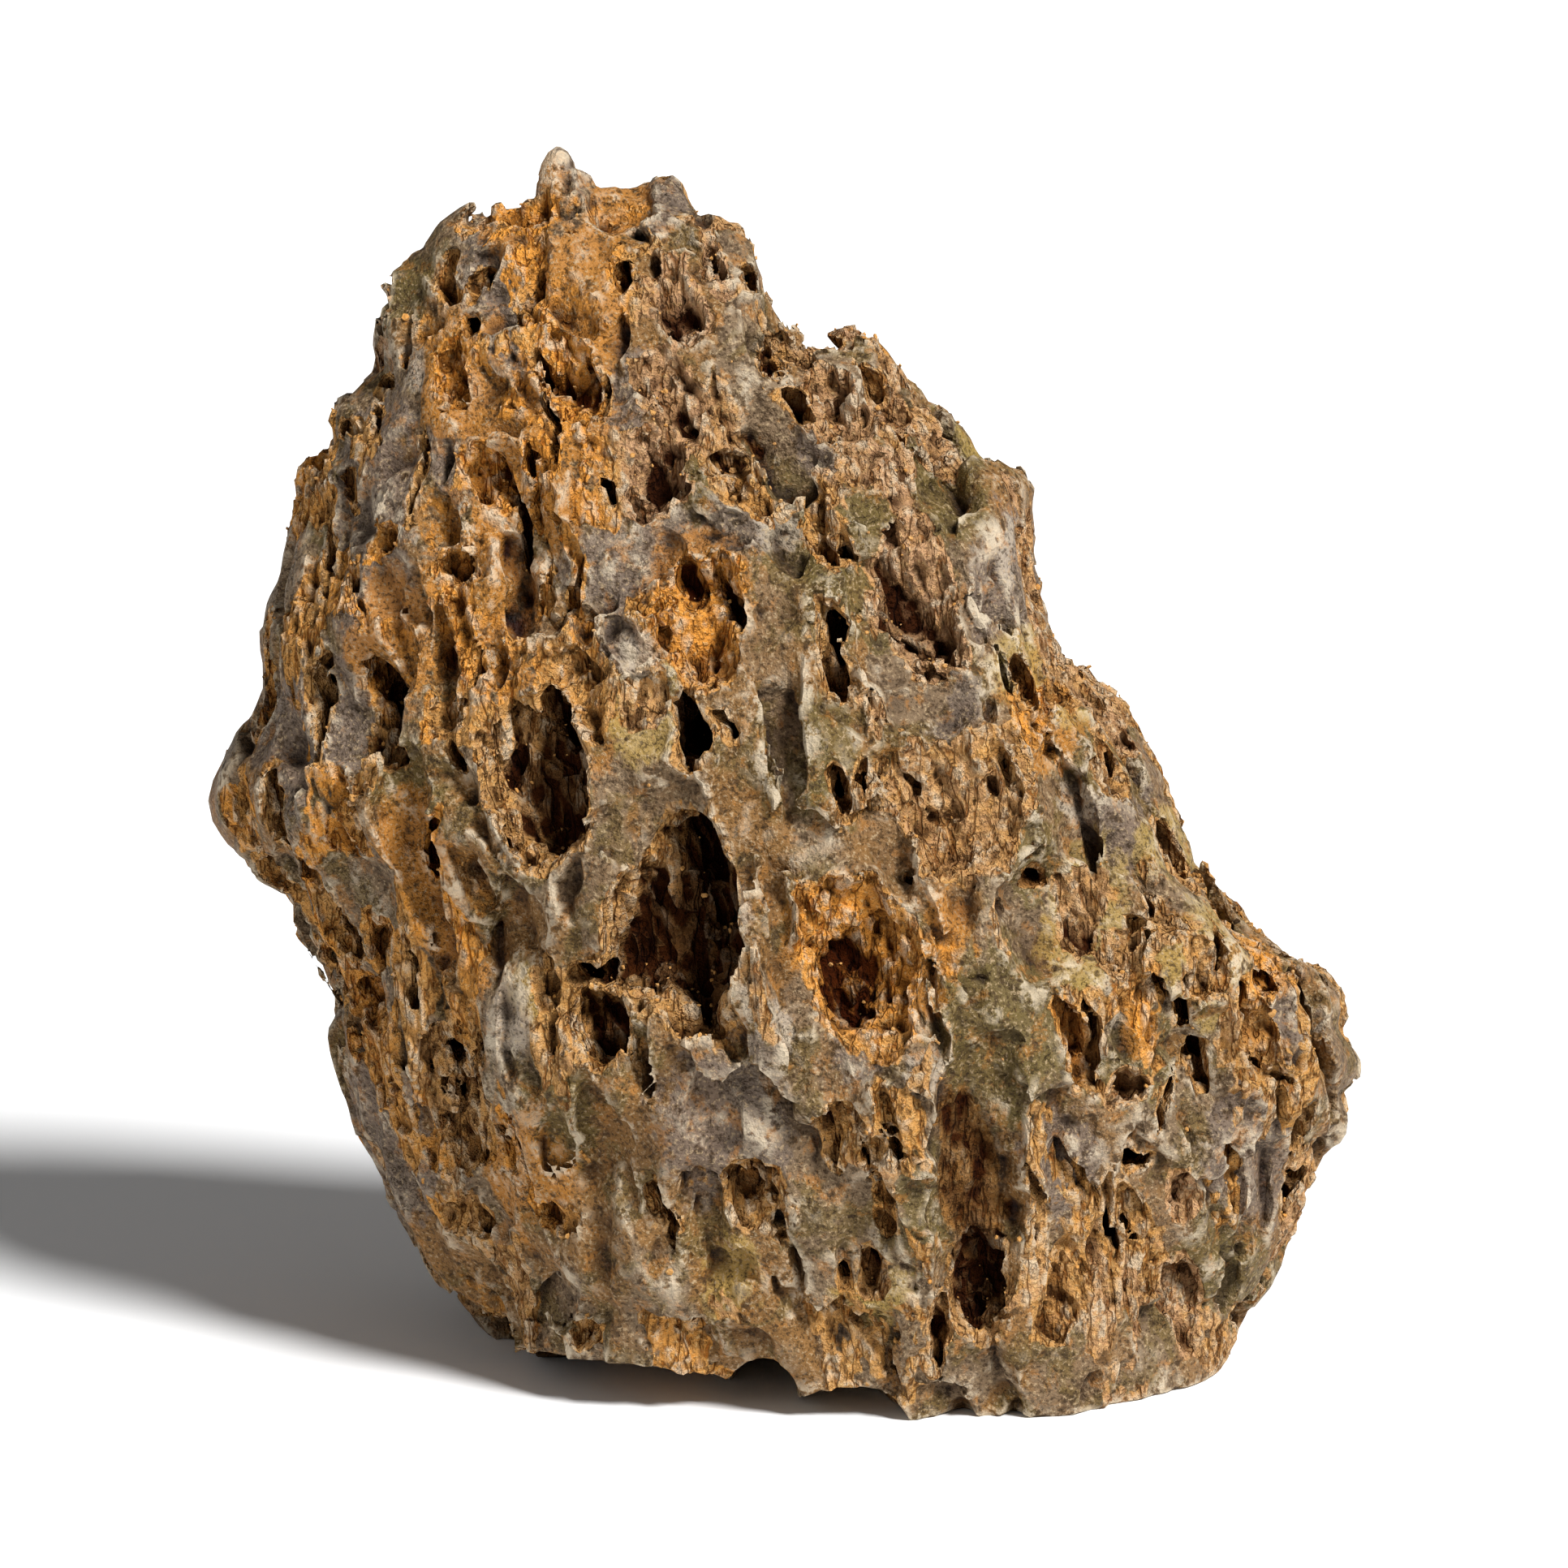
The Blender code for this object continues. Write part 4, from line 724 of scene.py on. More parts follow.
def side_balls(lump):
    """Hollows all round the sides and the back, in staggered rows like the front's."""
    chance = random.Random(SIDE_SEED)
    kinds = random.Random(SIDE_SEED + 1)
    for level in np.arange(*SIDE_LEVELS, SIDE_LEVEL_STEP):
        axis = Vector((-CORE_LEAN * level, 0, level))
        turn = chance.uniform(0, 0.3)
        while turn < 2 * math.pi:
            way = Vector((math.sin(turn), -math.cos(turn), 0))
            mouth, normal, _, _ = lump.ray_cast(axis + way * RAY_START, -way)
            wide = chance.uniform(*SIDE_WIDE)
            tall = wide * chance.uniform(*SIDE_STRETCH)
            deep = chance.uniform(*SIDE_DEEP)
            lean = chance.gauss(SIDE_LEAN, SIDE_LEAN_SPREAD)
            shift = [chance.uniform(-SIDE_SHIFT, SIDE_SHIFT) for _ in range(3)]
            turn += SIDE_SPACING * chance.uniform(*SPACING_SPREAD) / SIDE_RADIUS
            if mouth is None:
                continue
            facing = np.dot(normal, EYE_BACK)
            if facing > FRONT_FACING:
                continue
            if facing > EDGE_FACING:
                deep *= EDGE_SHALLOWNESS
            clay = kinds.choice(SIDE_CLAYS)
            tone = min(1, max(0, kinds.gauss(0.5, 0.3)))
            up = np.array((0, 0, 1))
            yield ball(np.array(mouth) + shift, np.array(normal), up, lean, wide, tall, deep, clay, tone)


def grid_axis(axis, cells, step):
    return GRID_LOW[axis] + step * np.arange(cells, dtype=np.float32)


def spread(coarse, stride):
    """A coarse grid's values on the fine grid, straight between its nodes."""
    for axis in range(3):
        place = np.arange(GRID_CELLS[axis]) / stride
        low = np.minimum(place.astype(int), coarse.shape[axis] - 2)
        part = np.expand_dims((place - low).astype(np.float32), tuple({0, 1, 2} - {axis}))
        start = np.take(coarse, low, axis)
        coarse = start + (np.take(coarse, low + 1, axis) - start) * part
    return coarse


def softened(field):
    """A field averaged with its neighbours, so that its steps don't come out as blocks."""
    for axis in range(3):
        field = np.moveaxis(field, axis, 0)
        field[1:-1] = field[1:-1] * 0.7 + (field[:-2] + field[2:]) * 0.15
        field = np.moveaxis(field, 0, axis)
    return field


def coarse_points(stride):
    cells = [(count - 1) // stride + 2 for count in GRID_CELLS]
    axes = [grid_axis(axis, cells[axis], GRID_STEP * stride) for axis in range(3)]
    return np.stack(np.meshgrid(*axes, indexing="ij"), axis=-1)


def reach_table(outline):
    """How far an outline lies from the heart in each direction, in a table of 2048 directions."""
    around = (np.arange(2048) + 0.5) / 2048 * 2 * math.pi - math.pi
    way = np.stack([np.cos(around), np.sin(around)], axis=-1)[:, None]
    start = outline - np.array(LUMP_HEART)
    side = np.roll(start, -1, axis=0) - start
    cross = way[..., 0] * side[:, 1] - way[..., 1] * side[:, 0]
    along = (start[:, 0] * side[:, 1] - start[:, 1] * side[:, 0]) / cross
    share = (start[:, 0] * way[..., 1] - start[:, 1] * way[..., 0]) / cross
    hits = np.where((share >= 0) & (share <= 1) & (along > 0), along, 0)
    return hits.max(axis=1).astype(np.float32)


def lump_field():
    """Where the waved grid lies in space, and how far outside the lump each node is."""
    points = coarse_points(SLOW_CELLS)
    still = points - waves(points, WAVE_HEIGHT, WAVE_LENGTH)
    u, v = drawn(still)
    front = np.interp(v, DEPTH_AT_V, FRONT_DEPTH)
    back = np.interp(v, DEPTH_AT_V, BACK_DEPTH)
    behind = still[..., 1] - setback(u, v)
    slow = [*np.moveaxis(still, -1, 0), u, v, behind, front, back, swell(u, v, 0), swell(u, v, 1)]
    x, y, z, u, v, behind, front, back, front_swell, back_swell = (
        spread(values.astype(np.float32), SLOW_CELLS) for values in slow
    )
    jagged, smooth = (reach_table(outline) for outline in even_outline(RING_POINTS))
    u -= LUMP_HEART[0]
    v -= LUMP_HEART[1]
    way = ((np.arctan2(v, u) + math.pi) * (2048 / (2 * math.pi))).astype(np.int32) % 2048
    radius = np.hypot(u, v)
    before = behind < 0
    half = np.where(before, front, back)
    swells = np.where(before, front_swell, back_swell)
    swells *= 1 - np.minimum(radius / smooth[way], 1) ** 4
    bulge = np.maximum(np.abs(behind) - swells, 0) / half
    jags = np.clip(1 - bulge * (FRONT_DEPTH[1] / JAG_REACH), 0, 1)
    size = radius / (smooth[way] + (jagged - smooth)[way] * jags)
    gauge = (size**FULLNESS + bulge**FULLNESS) ** (1 / FULLNESS)
    lump = np.hypot(radius, behind) * (1 - 1 / np.maximum(gauge, 0.05))
    return (x, y, z), lump


def hollow_field(still, balls):
    """How far inside the nearest hollow each node is, and which hollow that is."""
    depth = np.full(GRID_CELLS, -50, np.float32)
    owner = np.full(GRID_CELLS, -1, np.int16)
    slack = WAVE_HEIGHT + FRAY_HEIGHT + 2 * GRID_STEP + 1.5
    low = np.array(GRID_LOW)
    for index, one in enumerate(balls):
        first = np.floor((one.middle - one.reach - slack - low) / GRID_STEP).astype(int)
        last = np.ceil((one.middle + one.reach + slack - low) / GRID_STEP).astype(int)
        window = tuple(slice(max(a, 0), max(b, 0)) for a, b in zip(first, last))
        x, y, z = (still[axis][window] - one.middle[axis] for axis in range(3))
        if not x.size:
            continue
        power = sum(
            np.abs(row[0] * x + row[1] * y + row[2] * z) ** square
            for row, square in zip(one.inward.astype(np.float32), one.squareness)
        )
        inside = (1 - power ** (1 / 2.2)) * one.size
        better = inside > depth[window]
        depth[window][better] = inside[better]
        owner[window][better] = index
    return depth, owner


def leaned(points):
    """Points turned so that what runs up the stone, with its top leaning left, stands upright."""
    lean = math.radians(SIDE_LEAN)
    across, up = (math.cos(lean), 0, math.sin(lean)), (-math.sin(lean), 0, math.cos(lean))
    return points @ np.array((across, (0, 1, 0), up), np.float32).T


def cell_numbers(points, size, seed):
    """The plate that each point belongs to, as a row of numbers, and its place in the plate."""
    place = leaned(points) / np.array(size, np.float32)
    numbers = np.random.default_rng(seed).uniform(-1, 1, (4096, 8)).astype(np.float32)
    first = np.floor(place - 0.5).astype(np.int32)
    nearest_yet = np.full(len(points), 99, np.float32)
    row = np.zeros(len(points), np.int32)
    inside = np.zeros((len(points), 3), np.float32)
    for step in np.ndindex(2, 2, 2):
        cell = first + np.array(step, np.int32)
        mixed = (cell[:, 0] * 73856093) ^ (cell[:, 1] * 19349663) ^ (cell[:, 2] * 83492791)
        index = (mixed & 0x7FFFFFFF) % 4096
        away = place - cell - 0.5 - numbers[index, :3] * 0.42
        distance = (away**2).sum(axis=1)
        closer = distance < nearest_yet
        nearest_yet[closer] = distance[closer]
        row[closer] = index[closer]
        inside[closer] = away[closer]
    return numbers[row], inside


def plate_depth(points, size, seed, step, tilt, bowl):
    """How deep the surface lies in its plates, each at its own level and tilt and a little hollow."""
    numbers, inside = cell_numbers(points, size, seed)
    slopes = tilt * (numbers[:, 4:7] + np.array(SCALE_SLOPE, np.float32))
    depth = step * numbers[:, 3] + (inside * slopes).sum(axis=1)
    return depth + bowl * (0.25 - (inside**2).sum(axis=1))


def undercut_field(still):
    depth = np.full(GRID_CELLS, -50, np.float32)
    for middle, sizes in UNDERCUTS:
        power = sum(((still[axis] - middle[axis]) / sizes[axis]) ** 2 for axis in range(3))
        np.maximum(depth, (1 - np.sqrt(power)) * min(sizes), out=depth)
    return depth


def surface_nets(field):
    """Quads on the grid's zero surface, with their points in millimetres."""
    inside = field < 0
    corners = [(a, b, c) for a in (0, 1) for b in (0, 1) for c in (0, 1)]
    cells = [count - 1 for count in GRID_CELLS]
    count = sum(
        inside[a : a + cells[0], b : b + cells[1], c : c + cells[2]].astype(np.int8)
        for a, b, c in corners
    )
    active = np.argwhere((count > 0) & (count < 8))
    number = np.full(cells, -1, np.int32)
    number[tuple(active.T)] = np.arange(len(active))
    values = {corner: field[tuple((active + corner).T)] for corner in corners}
    total = np.zeros((len(active), 3), np.float32)
    crossings = np.zeros(len(active), np.float32)
    for start in corners:
        for axis in range(3):
            if start[axis]:
                continue
            end = tuple(1 if i == axis else start[i] for i in range(3))
            crosses = (values[start] < 0) != (values[end] < 0)
            gap = np.where(crosses, values[start] - values[end], 1)
            total[:, axis] += np.where(crosses, values[start] / gap, 0)
            for other in range(3):
                if other != axis:
                    total[:, other] += crosses * start[other]
            crossings += crosses
    points = (active + total / crossings[:, None]) * GRID_STEP + np.array(GRID_LOW)
    quads = []
    for axis in range(3):
        one, two = (axis + 1) % 3, (axis + 2) % 3
        ahead = np.take(inside, range(1, GRID_CELLS[axis]), axis)
        here = np.take(inside, range(GRID_CELLS[axis] - 1), axis)
        edges = np.argwhere(here != ahead)
        edges = edges[(edges[:, one] > 0) & (edges[:, two] > 0)]
        edges = edges[(edges[:, one] < cells[one]) & (edges[:, two] < cells[two])]
        ring = []
        for back_one, back_two in ((1, 1), (0, 1), (0, 0), (1, 0)):
            cell = edges.copy()
            cell[:, one] -= back_one
            cell[:, two] -= back_two
            ring.append(number[tuple(cell.T)])
        quad = np.stack(ring, axis=1)
        outward = here[tuple(edges.T)]
        quads.append(np.where(outward[:, None], quad, quad[:, ::-1]))
    return points.astype(np.float32), np.concatenate(quads)


def main_body(points, quads):
    """The largest connected surface, without the rest."""
    label = np.arange(len(points))
    ends = np.concatenate([quads[:, [i, (i + 1) % 4]] for i in range(4)])
    while True:
        before = label.copy()
        lowest = np.minimum(label[ends[:, 0]], label[ends[:, 1]])
        np.minimum.at(label, ends[:, 0], lowest)
        np.minimum.at(label, ends[:, 1], lowest)
        for _ in range(3):
            label = label[label]
        if (label == before).all():
            break
    kept = label == np.bincount(label).argmax()
    number = np.cumsum(kept) - 1
    return points[kept], number[quads[kept[quads[:, 0]]]]


def sampled(grid, points):
    """A grid's values at points, straight between its nodes."""
    place = (points - np.array(GRID_LOW)) / GRID_STEP
    place = np.clip(place, 0, np.array(GRID_CELLS) - 1.001)
    low = place.astype(int)
    part = place - low
    value = 0
    for corner in np.ndindex(2, 2, 2):
        weight = np.prod(np.where(corner, part, 1 - part), axis=1)
        value = value + weight * grid[tuple((low + corner).T)]
    return value


def nearest(grid, points):
    place = np.rint((points - np.array(GRID_LOW)) / GRID_STEP).astype(int)
    return grid[tuple(np.clip(place, 0, np.array(GRID_CELLS) - 1).T)]


def mesh_from(name, points, faces):
    sides = faces.shape[1]
    mesh = bpy.data.meshes.new(name)
    mesh.vertices.add(len(points))
    mesh.vertices.foreach_set("co", points.astype(np.float32).ravel())
    mesh.loops.add(faces.size)
    mesh.loops.foreach_set("vertex_index", faces.astype(np.int32).ravel())
    mesh.polygons.add(len(faces))
    mesh.polygons.foreach_set("loop_start", np.arange(len(faces), dtype=np.int32) * sides)
    mesh.update(calc_edges=True)
    return mesh


def read(items, field, width=3):
    values = np.empty(len(items) * width, np.float32)
    items.foreach_get(field, values)
    return values.reshape(-1, width)


def filled(band, values):
    """A grid with these values in the band, and zero elsewhere."""
    grid = np.zeros(GRID_CELLS, np.float32)
    grid[band] = values
    return grid


def stone_surface():
    """The stone's fine surface, and the grids that its finish is read from."""
    lump = lump_tree()
    balls = [*front_balls(lump), *side_balls(lump)]
    still, outside = lump_field()
    coarse = coarse_points(FRAY_CELLS)
    fray = waves(coarse, FRAY_HEIGHT, FRAY_LENGTH)
    jags, _ = cell_numbers(coarse.reshape(-1, 3), *JAGS[:2])
    fray += JAGS[2] * jags[:, 4:7].reshape(fray.shape)
    frayed = [still[axis] + spread(fray[..., axis], FRAY_CELLS) for axis in range(3)]
    hollow, owner = hollow_field(frayed, balls)
    band = np.abs(np.maximum(outside, hollow)) < PLATE_BAND
    places = np.stack([axis[band] for axis in frayed], axis=1)
    clay = np.array([one.clay for one in balls] + [0.5], np.float32)[owner[band]]
    flakes = plate_depth(places, *FLAKES)
    shift = plate_depth(places, *PLATES) + 0.25 * flakes - fins(places)
    rim = np.clip(1 + hollow[band] / RIM_REACH, 0, 1) * np.minimum(1, 2 * clay)
    shift = np.clip(shift, -PLATE_RISE, None) * (1 - RIM_KEPT * rim)
    skin = outside + softened(filled(band, shift))
    hollow += softened(filled(band, 0.6 * flakes * (0.1 + 0.9 * clay)))
    field = np.maximum(skin, hollow)
    for spot, sizes in KNOBS:
        middle = placed(*spot)
        power = sum(((still[axis] - middle[axis]) / sizes[axis]) ** 2 for axis in range(3))
        np.minimum(field, (np.sqrt(power) - 1) * min(sizes), out=field)
    np.maximum(field, undercut_field(still), out=field)
    np.maximum(field, -grid_axis(2, GRID_CELLS[2], GRID_STEP), out=field)
    points, quads = main_body(*surface_nets(field))
    grids = {"outside": outside, "hollow": hollow - skin, "owner": owner}
    for name, radius in CROWDING.items():
        grids[name] = crowding(field, radius)
    return points, quads, grids, balls


def fins(points):
    """How far sharp upright fins, whose tops lean left, stand above the surface at points."""
    near = np.abs(noise_at(leaned(points) / np.array(FIN_SIZE)))
    return FIN_HEIGHT * (np.clip(1 - 2.6 * near, 0, 1) ** 2 - 0.25)


def crowding(field, radius):
    """The share of solid within a box round each node: half on a flat, more in a hollow."""
    share = (field < 0).astype(np.float32)
    reach = round(radius / GRID_STEP)
    for axis in range(3):
        share = np.moveaxis(share, axis, 0)
        padded = np.concatenate([share[:1]] * (reach + 1) + [share] + [share[-1:]] * reach)
        total = np.cumsum(padded, axis=0, dtype=np.float32)
        windows = (total[2 * reach + 1 :] - total[: -2 * reach - 1]) / (2 * reach + 1)
        share = np.moveaxis(windows, 0, axis)
    return share


def region_values(u, v):
    """How much of the surface is clay, and of what tone, round a place on the drawing."""
    table = np.array(REGIONS)
    weight = 1 / ((u[:, None] - table[:, 0]) ** 2 + (v[:, None] - table[:, 1]) ** 2 + 20) ** 2
    weight /= weight.sum(axis=1)[:, None]
    return weight @ table[:, 2], weight @ table[:, 3]


def finish_masks(points, normals, grids, balls):
    """Clay, tone, depth inside hollows, and the plates' numbers, at points of the surface."""
    below = np.maximum(-sampled(grids["outside"], points), 0)
    index = nearest(grids["owner"], points + normals * GRID_STEP)
    in_hollow = np.clip((sampled(grids["hollow"], points) + 0.45) / 0.3, 0, 1)
    u, v = drawn(points)
    share, tone = region_values(u, v)
    numbers, _ = cell_numbers(points.astype(np.float32), *PLATES[:2])
    plate_clay = (numbers[:, 7] * 0.5 + 0.5 < share).astype(np.float32)
    plate_tone = np.clip(tone + 0.25 * numbers[:, 3], 0, 1)
    clay = np.array([one.clay for one in balls] + [0], np.float32)[index]
    ball_tone = np.array([one.tone for one in balls] + [0.5], np.float32)[index]
    clay = plate_clay + (clay - plate_clay) * in_hollow
    tone = plate_tone + (ball_tone - plate_tone) * in_hollow
    return clay, tone, below * in_hollow, numbers


def relief(points, normals, clay):
    """Moves points along their normals: grain and lumps on clay, gentle dents on skin."""
    grain = noise_at(leaned(points) / np.array((2.5, 2.5, 8)))
    lumps = noise_at(points / 2.6)
    dents = noise_at(points / 6.5)
    rough = 0.6 * np.abs(grain) - 0.2 + 0.25 * lumps
    smooth = 0.4 * dents + 0.1 * lumps
    rough += 0.6 * plate_depth(points.astype(np.float32), *CHIPS)
    height = smooth + (rough - smooth) * clay
    height *= np.clip(points[:, 2] / 2, 0, 1)
    return points + normals * height[:, None]


def noise_at(points):
    return np.array([noise.noise(point) for point in points.tolist()], np.float32)


def decimated(mesh, faces_wanted):
    """A mesh brought down to this many triangles."""
    holder = bpy.data.objects.new("holder", mesh)
    bpy.context.scene.collection.objects.link(holder)
    modifier = holder.modifiers.new("fewer faces", "DECIMATE")
    modifier.ratio = faces_wanted / (2 * len(mesh.polygons))
    modifier.use_collapse_triangulate = True
    evaluated = holder.evaluated_get(bpy.context.evaluated_depsgraph_get())
    made = bpy.data.meshes.new_from_object(evaluated)
    bpy.data.objects.remove(holder)
    return made


def stain_masks(points, normals, numbers):
    """How strongly each kind of stain covers points of the surface, with edges that follow plates."""
    u, v = drawn(points)
    u = u + 2.5 * numbers[:, 5]
    v = v + 4 * numbers[:, 6]
    faces_eye = np.clip((normals @ EYE_BACK + 0.1) / 0.4, 0, 1)
    masks = {kind: np.zeros(len(points), np.float32) for kind in STAINS}
    for kind, spots in STAINS.items():
        for spot_u, spot_v, radius in spots:
            near = 1 - np.hypot(u - spot_u, (v - spot_v) / 1.4) / (1.5 * radius)
            np.maximum(masks[kind], np.clip(near * 2, 0, 1) * faces_eye, out=masks[kind])
    return masks


def set_attribute(mesh, name, values):
    attribute = mesh.attributes.new(name, "FLOAT", "POINT")
    attribute.data.foreach_set("value", values.astype(np.float32))


def crumbs(points, normals, weights, middle):
    """Loose grains of clay, as one mesh, where the weights are high."""
    chance = np.random.default_rng(CRUMB_SEED)
    chosen = chance.choice(len(points), CRUMBS, replace=False, p=weights / weights.sum())
    ball = bmesh.new()
    bmesh.ops.create_icosphere(ball, subdivisions=1, radius=1.0)
    shape = np.array([vert.co for vert in ball.verts])
    corners = np.array([[vert.index for vert in face.verts] for face in ball.faces])
    ball.free()
    places, faces = [], []
    for count, index in enumerate(chosen):
        size = CRUMB_SIZE * chance.lognormal(0, 0.4)
        stretch = chance.uniform(0.65, 1.25, 3)
        turn = Matrix.Rotation(chance.uniform(0, 6.28), 3, chance.normal(size=3))
        rough = shape * (1 + 0.5 * noise_at(shape * 1.3 + count * 7.7))[:, None]
        spot = points[index] + normals[index] * size * 0.25
        places.append((rough * stretch * size) @ np.array(turn) + spot)
        faces.append(corners + count * len(shape))
    return mesh_from("clay_crumbs", (np.concatenate(places) - middle) * MM, np.concatenate(faces))


class Nodes:
    """A material's node tree, with a short call for each kind of node used here."""

    def __init__(self, name):
        self.material = bpy.data.materials.new(name)
        self.material.use_nodes = True
        self.tree = self.material.node_tree
        self.shader = self.tree.nodes["Principled BSDF"]
        place = self.tree.nodes.new("ShaderNodeTexCoord").outputs["Object"]
        self.place = self.vector("SCALE", place, scale=1000)

    def feed(self, socket, value):
        if isinstance(value, bpy.types.NodeSocket):
            self.tree.links.new(value, socket)
        else:
            socket.default_value = value

    def vector(self, operation, a, b=None, scale=None):
        node = self.tree.nodes.new("ShaderNodeVectorMath")
        node.operation = operation
        self.feed(node.inputs[0], a)
        if b is not None:
            self.feed(node.inputs[1], b)
        if scale is not None:
            self.feed(node.inputs["Scale"], scale)
        return node.outputs[0]

    def mask(self, name):
        node = self.tree.nodes.new("ShaderNodeAttribute")
        node.attribute_name = name
        return node.outputs["Fac"]

    def noise(self, scale, detail=3.0, roughness=0.55, distortion=0.0, place=None):
        node = self.tree.nodes.new("ShaderNodeTexNoise")
        self.feed(node.inputs["Vector"], place or self.place)
        self.feed(node.inputs["Scale"], scale)
        self.feed(node.inputs["Detail"], detail)
        self.feed(node.inputs["Roughness"], roughness)
        self.feed(node.inputs["Distortion"], distortion)
        return node.outputs["Fac"]

    def cells(self, scale, feature="F1", place=None):
        node = self.tree.nodes.new("ShaderNodeTexVoronoi")
        node.feature = feature
        self.feed(node.inputs["Vector"], place or self.place)
        self.feed(node.inputs["Scale"], scale)
        return node.outputs["Distance"]

    def math(self, operation, a, b=0.0, clamp=False):
        node = self.tree.nodes.new("ShaderNodeMath")
        node.operation = operation
        node.use_clamp = clamp
        self.feed(node.inputs[0], a)
        self.feed(node.inputs[1], b)
        return node.outputs[0]

    def fit(self, value, low, high, to_low=0.0, to_high=1.0):
        node = self.tree.nodes.new("ShaderNodeMapRange")
        node.interpolation_type = "SMOOTHSTEP"
        self.feed(node.inputs["Value"], value)
        ends = {"From Min": low, "From Max": high, "To Min": to_low, "To Max": to_high}
        for name, number in ends.items():
            self.feed(node.inputs[name], number)
        return node.outputs[0]

    def mix(self, share, a, b, blend="MIX"):
        node = self.tree.nodes.new("ShaderNodeMix")
        node.data_type = "RGBA"
        node.blend_type = blend
        self.feed(node.inputs[0], share)
        self.feed(node.inputs[6], a)
        self.feed(node.inputs[7], b)
        return node.outputs[2]

    def ramp(self, value, stops):
        node = self.tree.nodes.new("ShaderNodeValToRGB")
        for _ in stops[2:]:
            node.color_ramp.elements.new(0.5)
        for element, (position, colour) in zip(node.color_ramp.elements, stops):
            element.position = position
            element.color = colour
        self.feed(node.inputs[0], value)
        return node.outputs[0]

    def bump(self, height, distance):
        node = self.tree.nodes.new("ShaderNodeBump")
        self.feed(node.inputs["Height"], height)
        self.feed(node.inputs["Distance"], distance * MM)
        self.feed(node.inputs["Strength"], 1.0)
        self.feed(self.shader.inputs["Normal"], node.outputs[0])

    def leaned(self, stretch):
        """Places for a grain that runs up the stone, with its top leaning left."""
        node = self.tree.nodes.new("ShaderNodeMapping")
        self.feed(node.inputs["Vector"], self.place)
        self.feed(node.inputs["Rotation"], (0, math.radians(SIDE_LEAN), 0))
        self.feed(node.inputs["Scale"], (1, 1, stretch))
        return node.outputs[0]


def grey(value):
    return (value, value, value, 1)


def clay_colour(nodes, tone, grain, fine):
    """Sandy clay of a tone, browner in its grain and pale where it is rough."""
    colour = nodes.ramp(tone, ((0, CLAY_PINK), (0.5, CLAY_OCHRE), (1, CLAY_ORANGE)))
    colour = nodes.mix(nodes.fit(grain, 0.48, 0.34, 0.0, 0.45), colour, CLAY_BROWN)
    return nodes.mix(nodes.fit(fine, 0.54, 0.68, 0.0, 0.6), colour, CLAY_SAND)


def skin_colour(nodes, patches, blotches, spots, fine, ragged):
    """Grey and brown plates, olive and rusty patches, stains, dark specks and pale grains."""
    plate = nodes.math("ADD", nodes.mask("plate"), nodes.math("SUBTRACT", blotches, 0.5))
    skin = nodes.mix(nodes.fit(plate, 0.25, 0.75), SKIN_GREY, SKIN_BROWN)
    skin = nodes.mix(nodes.fit(patches, 0.5, 0.6, 0, 0.85), skin, SKIN_OLIVE)
    for kind, (colour, share) in STAIN_COLOURS.items():
        spread_out = nodes.math("ADD", nodes.mask(kind), nodes.math("MULTIPLY", ragged, 2.2))
        skin = nodes.mix(nodes.fit(spread_out, 0.3, 0.8, 0, share), skin, colour)
    skin = nodes.mix(nodes.fit(blotches, 0.47, 0.36, 0, 0.6), skin, SKIN_RUST)
    skin = nodes.mix(nodes.fit(spots, 0.46, 0.34, 0, 0.75), skin, SKIN_DARK)
    skin = nodes.mix(nodes.fit(fine, 0.46, 0.36, 0, 0.75), skin, SKIN_DARK)
    return nodes.mix(nodes.fit(fine, 0.55, 0.66, 0, 0.65), skin, SKIN_PALE)


def clay_tone(nodes, ragged):
    """From pink at 0 to orange at 1, and more orange inside an orange stain."""
    tone = nodes.math("ADD", nodes.mask("tone"), nodes.math("MULTIPLY", ragged, 0.9), clamp=True)
    orange = nodes.math("MULTIPLY", nodes.mask("orange"), 0.35)
    return nodes.math("ADD", tone, orange, clamp=True)


def clay_cover(nodes, ragged):
    """Where clay hides the skin: in hollows, in what is deep, with ragged borders."""
    share = nodes.math("MAXIMUM", nodes.mask("clay"), nodes.mask("deep"))
    share = nodes.math("ADD", share, nodes.math("MULTIPLY", ragged, 0.8))
    return nodes.fit(share, 0.38, 0.58)


def crack_lines(nodes, patches, clay_share):
    """Leaning seams in the clay and fine creases in patches."""
    streaks = nodes.noise(0.26, 3, 0.55, place=nodes.leaned(0.25))
    seams = nodes.math("ABSOLUTE", nodes.math("SUBTRACT", streaks, 0.5))
    veins = nodes.noise(0.3, 4, 0.6, distortion=0.4)
    creases = nodes.math("ABSOLUTE", nodes.math("SUBTRACT", veins, 0.5))
    cracks = nodes.math("MULTIPLY", nodes.fit(seams, 0.035, 0.0), clay_share)
    creases = nodes.math("MULTIPLY", nodes.fit(creases, 0.008, 0.0), nodes.fit(patches, 0.53, 0.6))
    return nodes.math("MAXIMUM", cracks, nodes.math("MULTIPLY", creases, 0.6))


def shaded(nodes, colour, spots, cracks):
    """Painted light: a pale highlight on the crests, and painted shade in cracks, hollows, grooves and
    depths.
    """
    # Painted highlight: the sharp crests are made paler, in patches.
    crest = nodes.math("MULTIPLY", nodes.mask("crest"), nodes.fit(spots, 0.43, 0.53))
    colour = nodes.mix(nodes.math("MULTIPLY", crest, 0.65, clamp=True), colour, CREST_HIGHLIGHT)
    # Painted shade: darker in the cracks, in the cavities, and in the grooves and deep places.
    colour = nodes.mix(nodes.math("POWER", cracks, 2.0), colour, CRACK_SHADE, "MULTIPLY")
    colour = nodes.mix(nodes.mask("cavity"), colour, HOLLOW_SHADE, "MULTIPLY")
    dark = nodes.math("ADD", nodes.mask("groove_shade"), nodes.mask("deep"), clamp=True)
    return nodes.mix(dark, colour, DEEP_SHADE, "MULTIPLY")


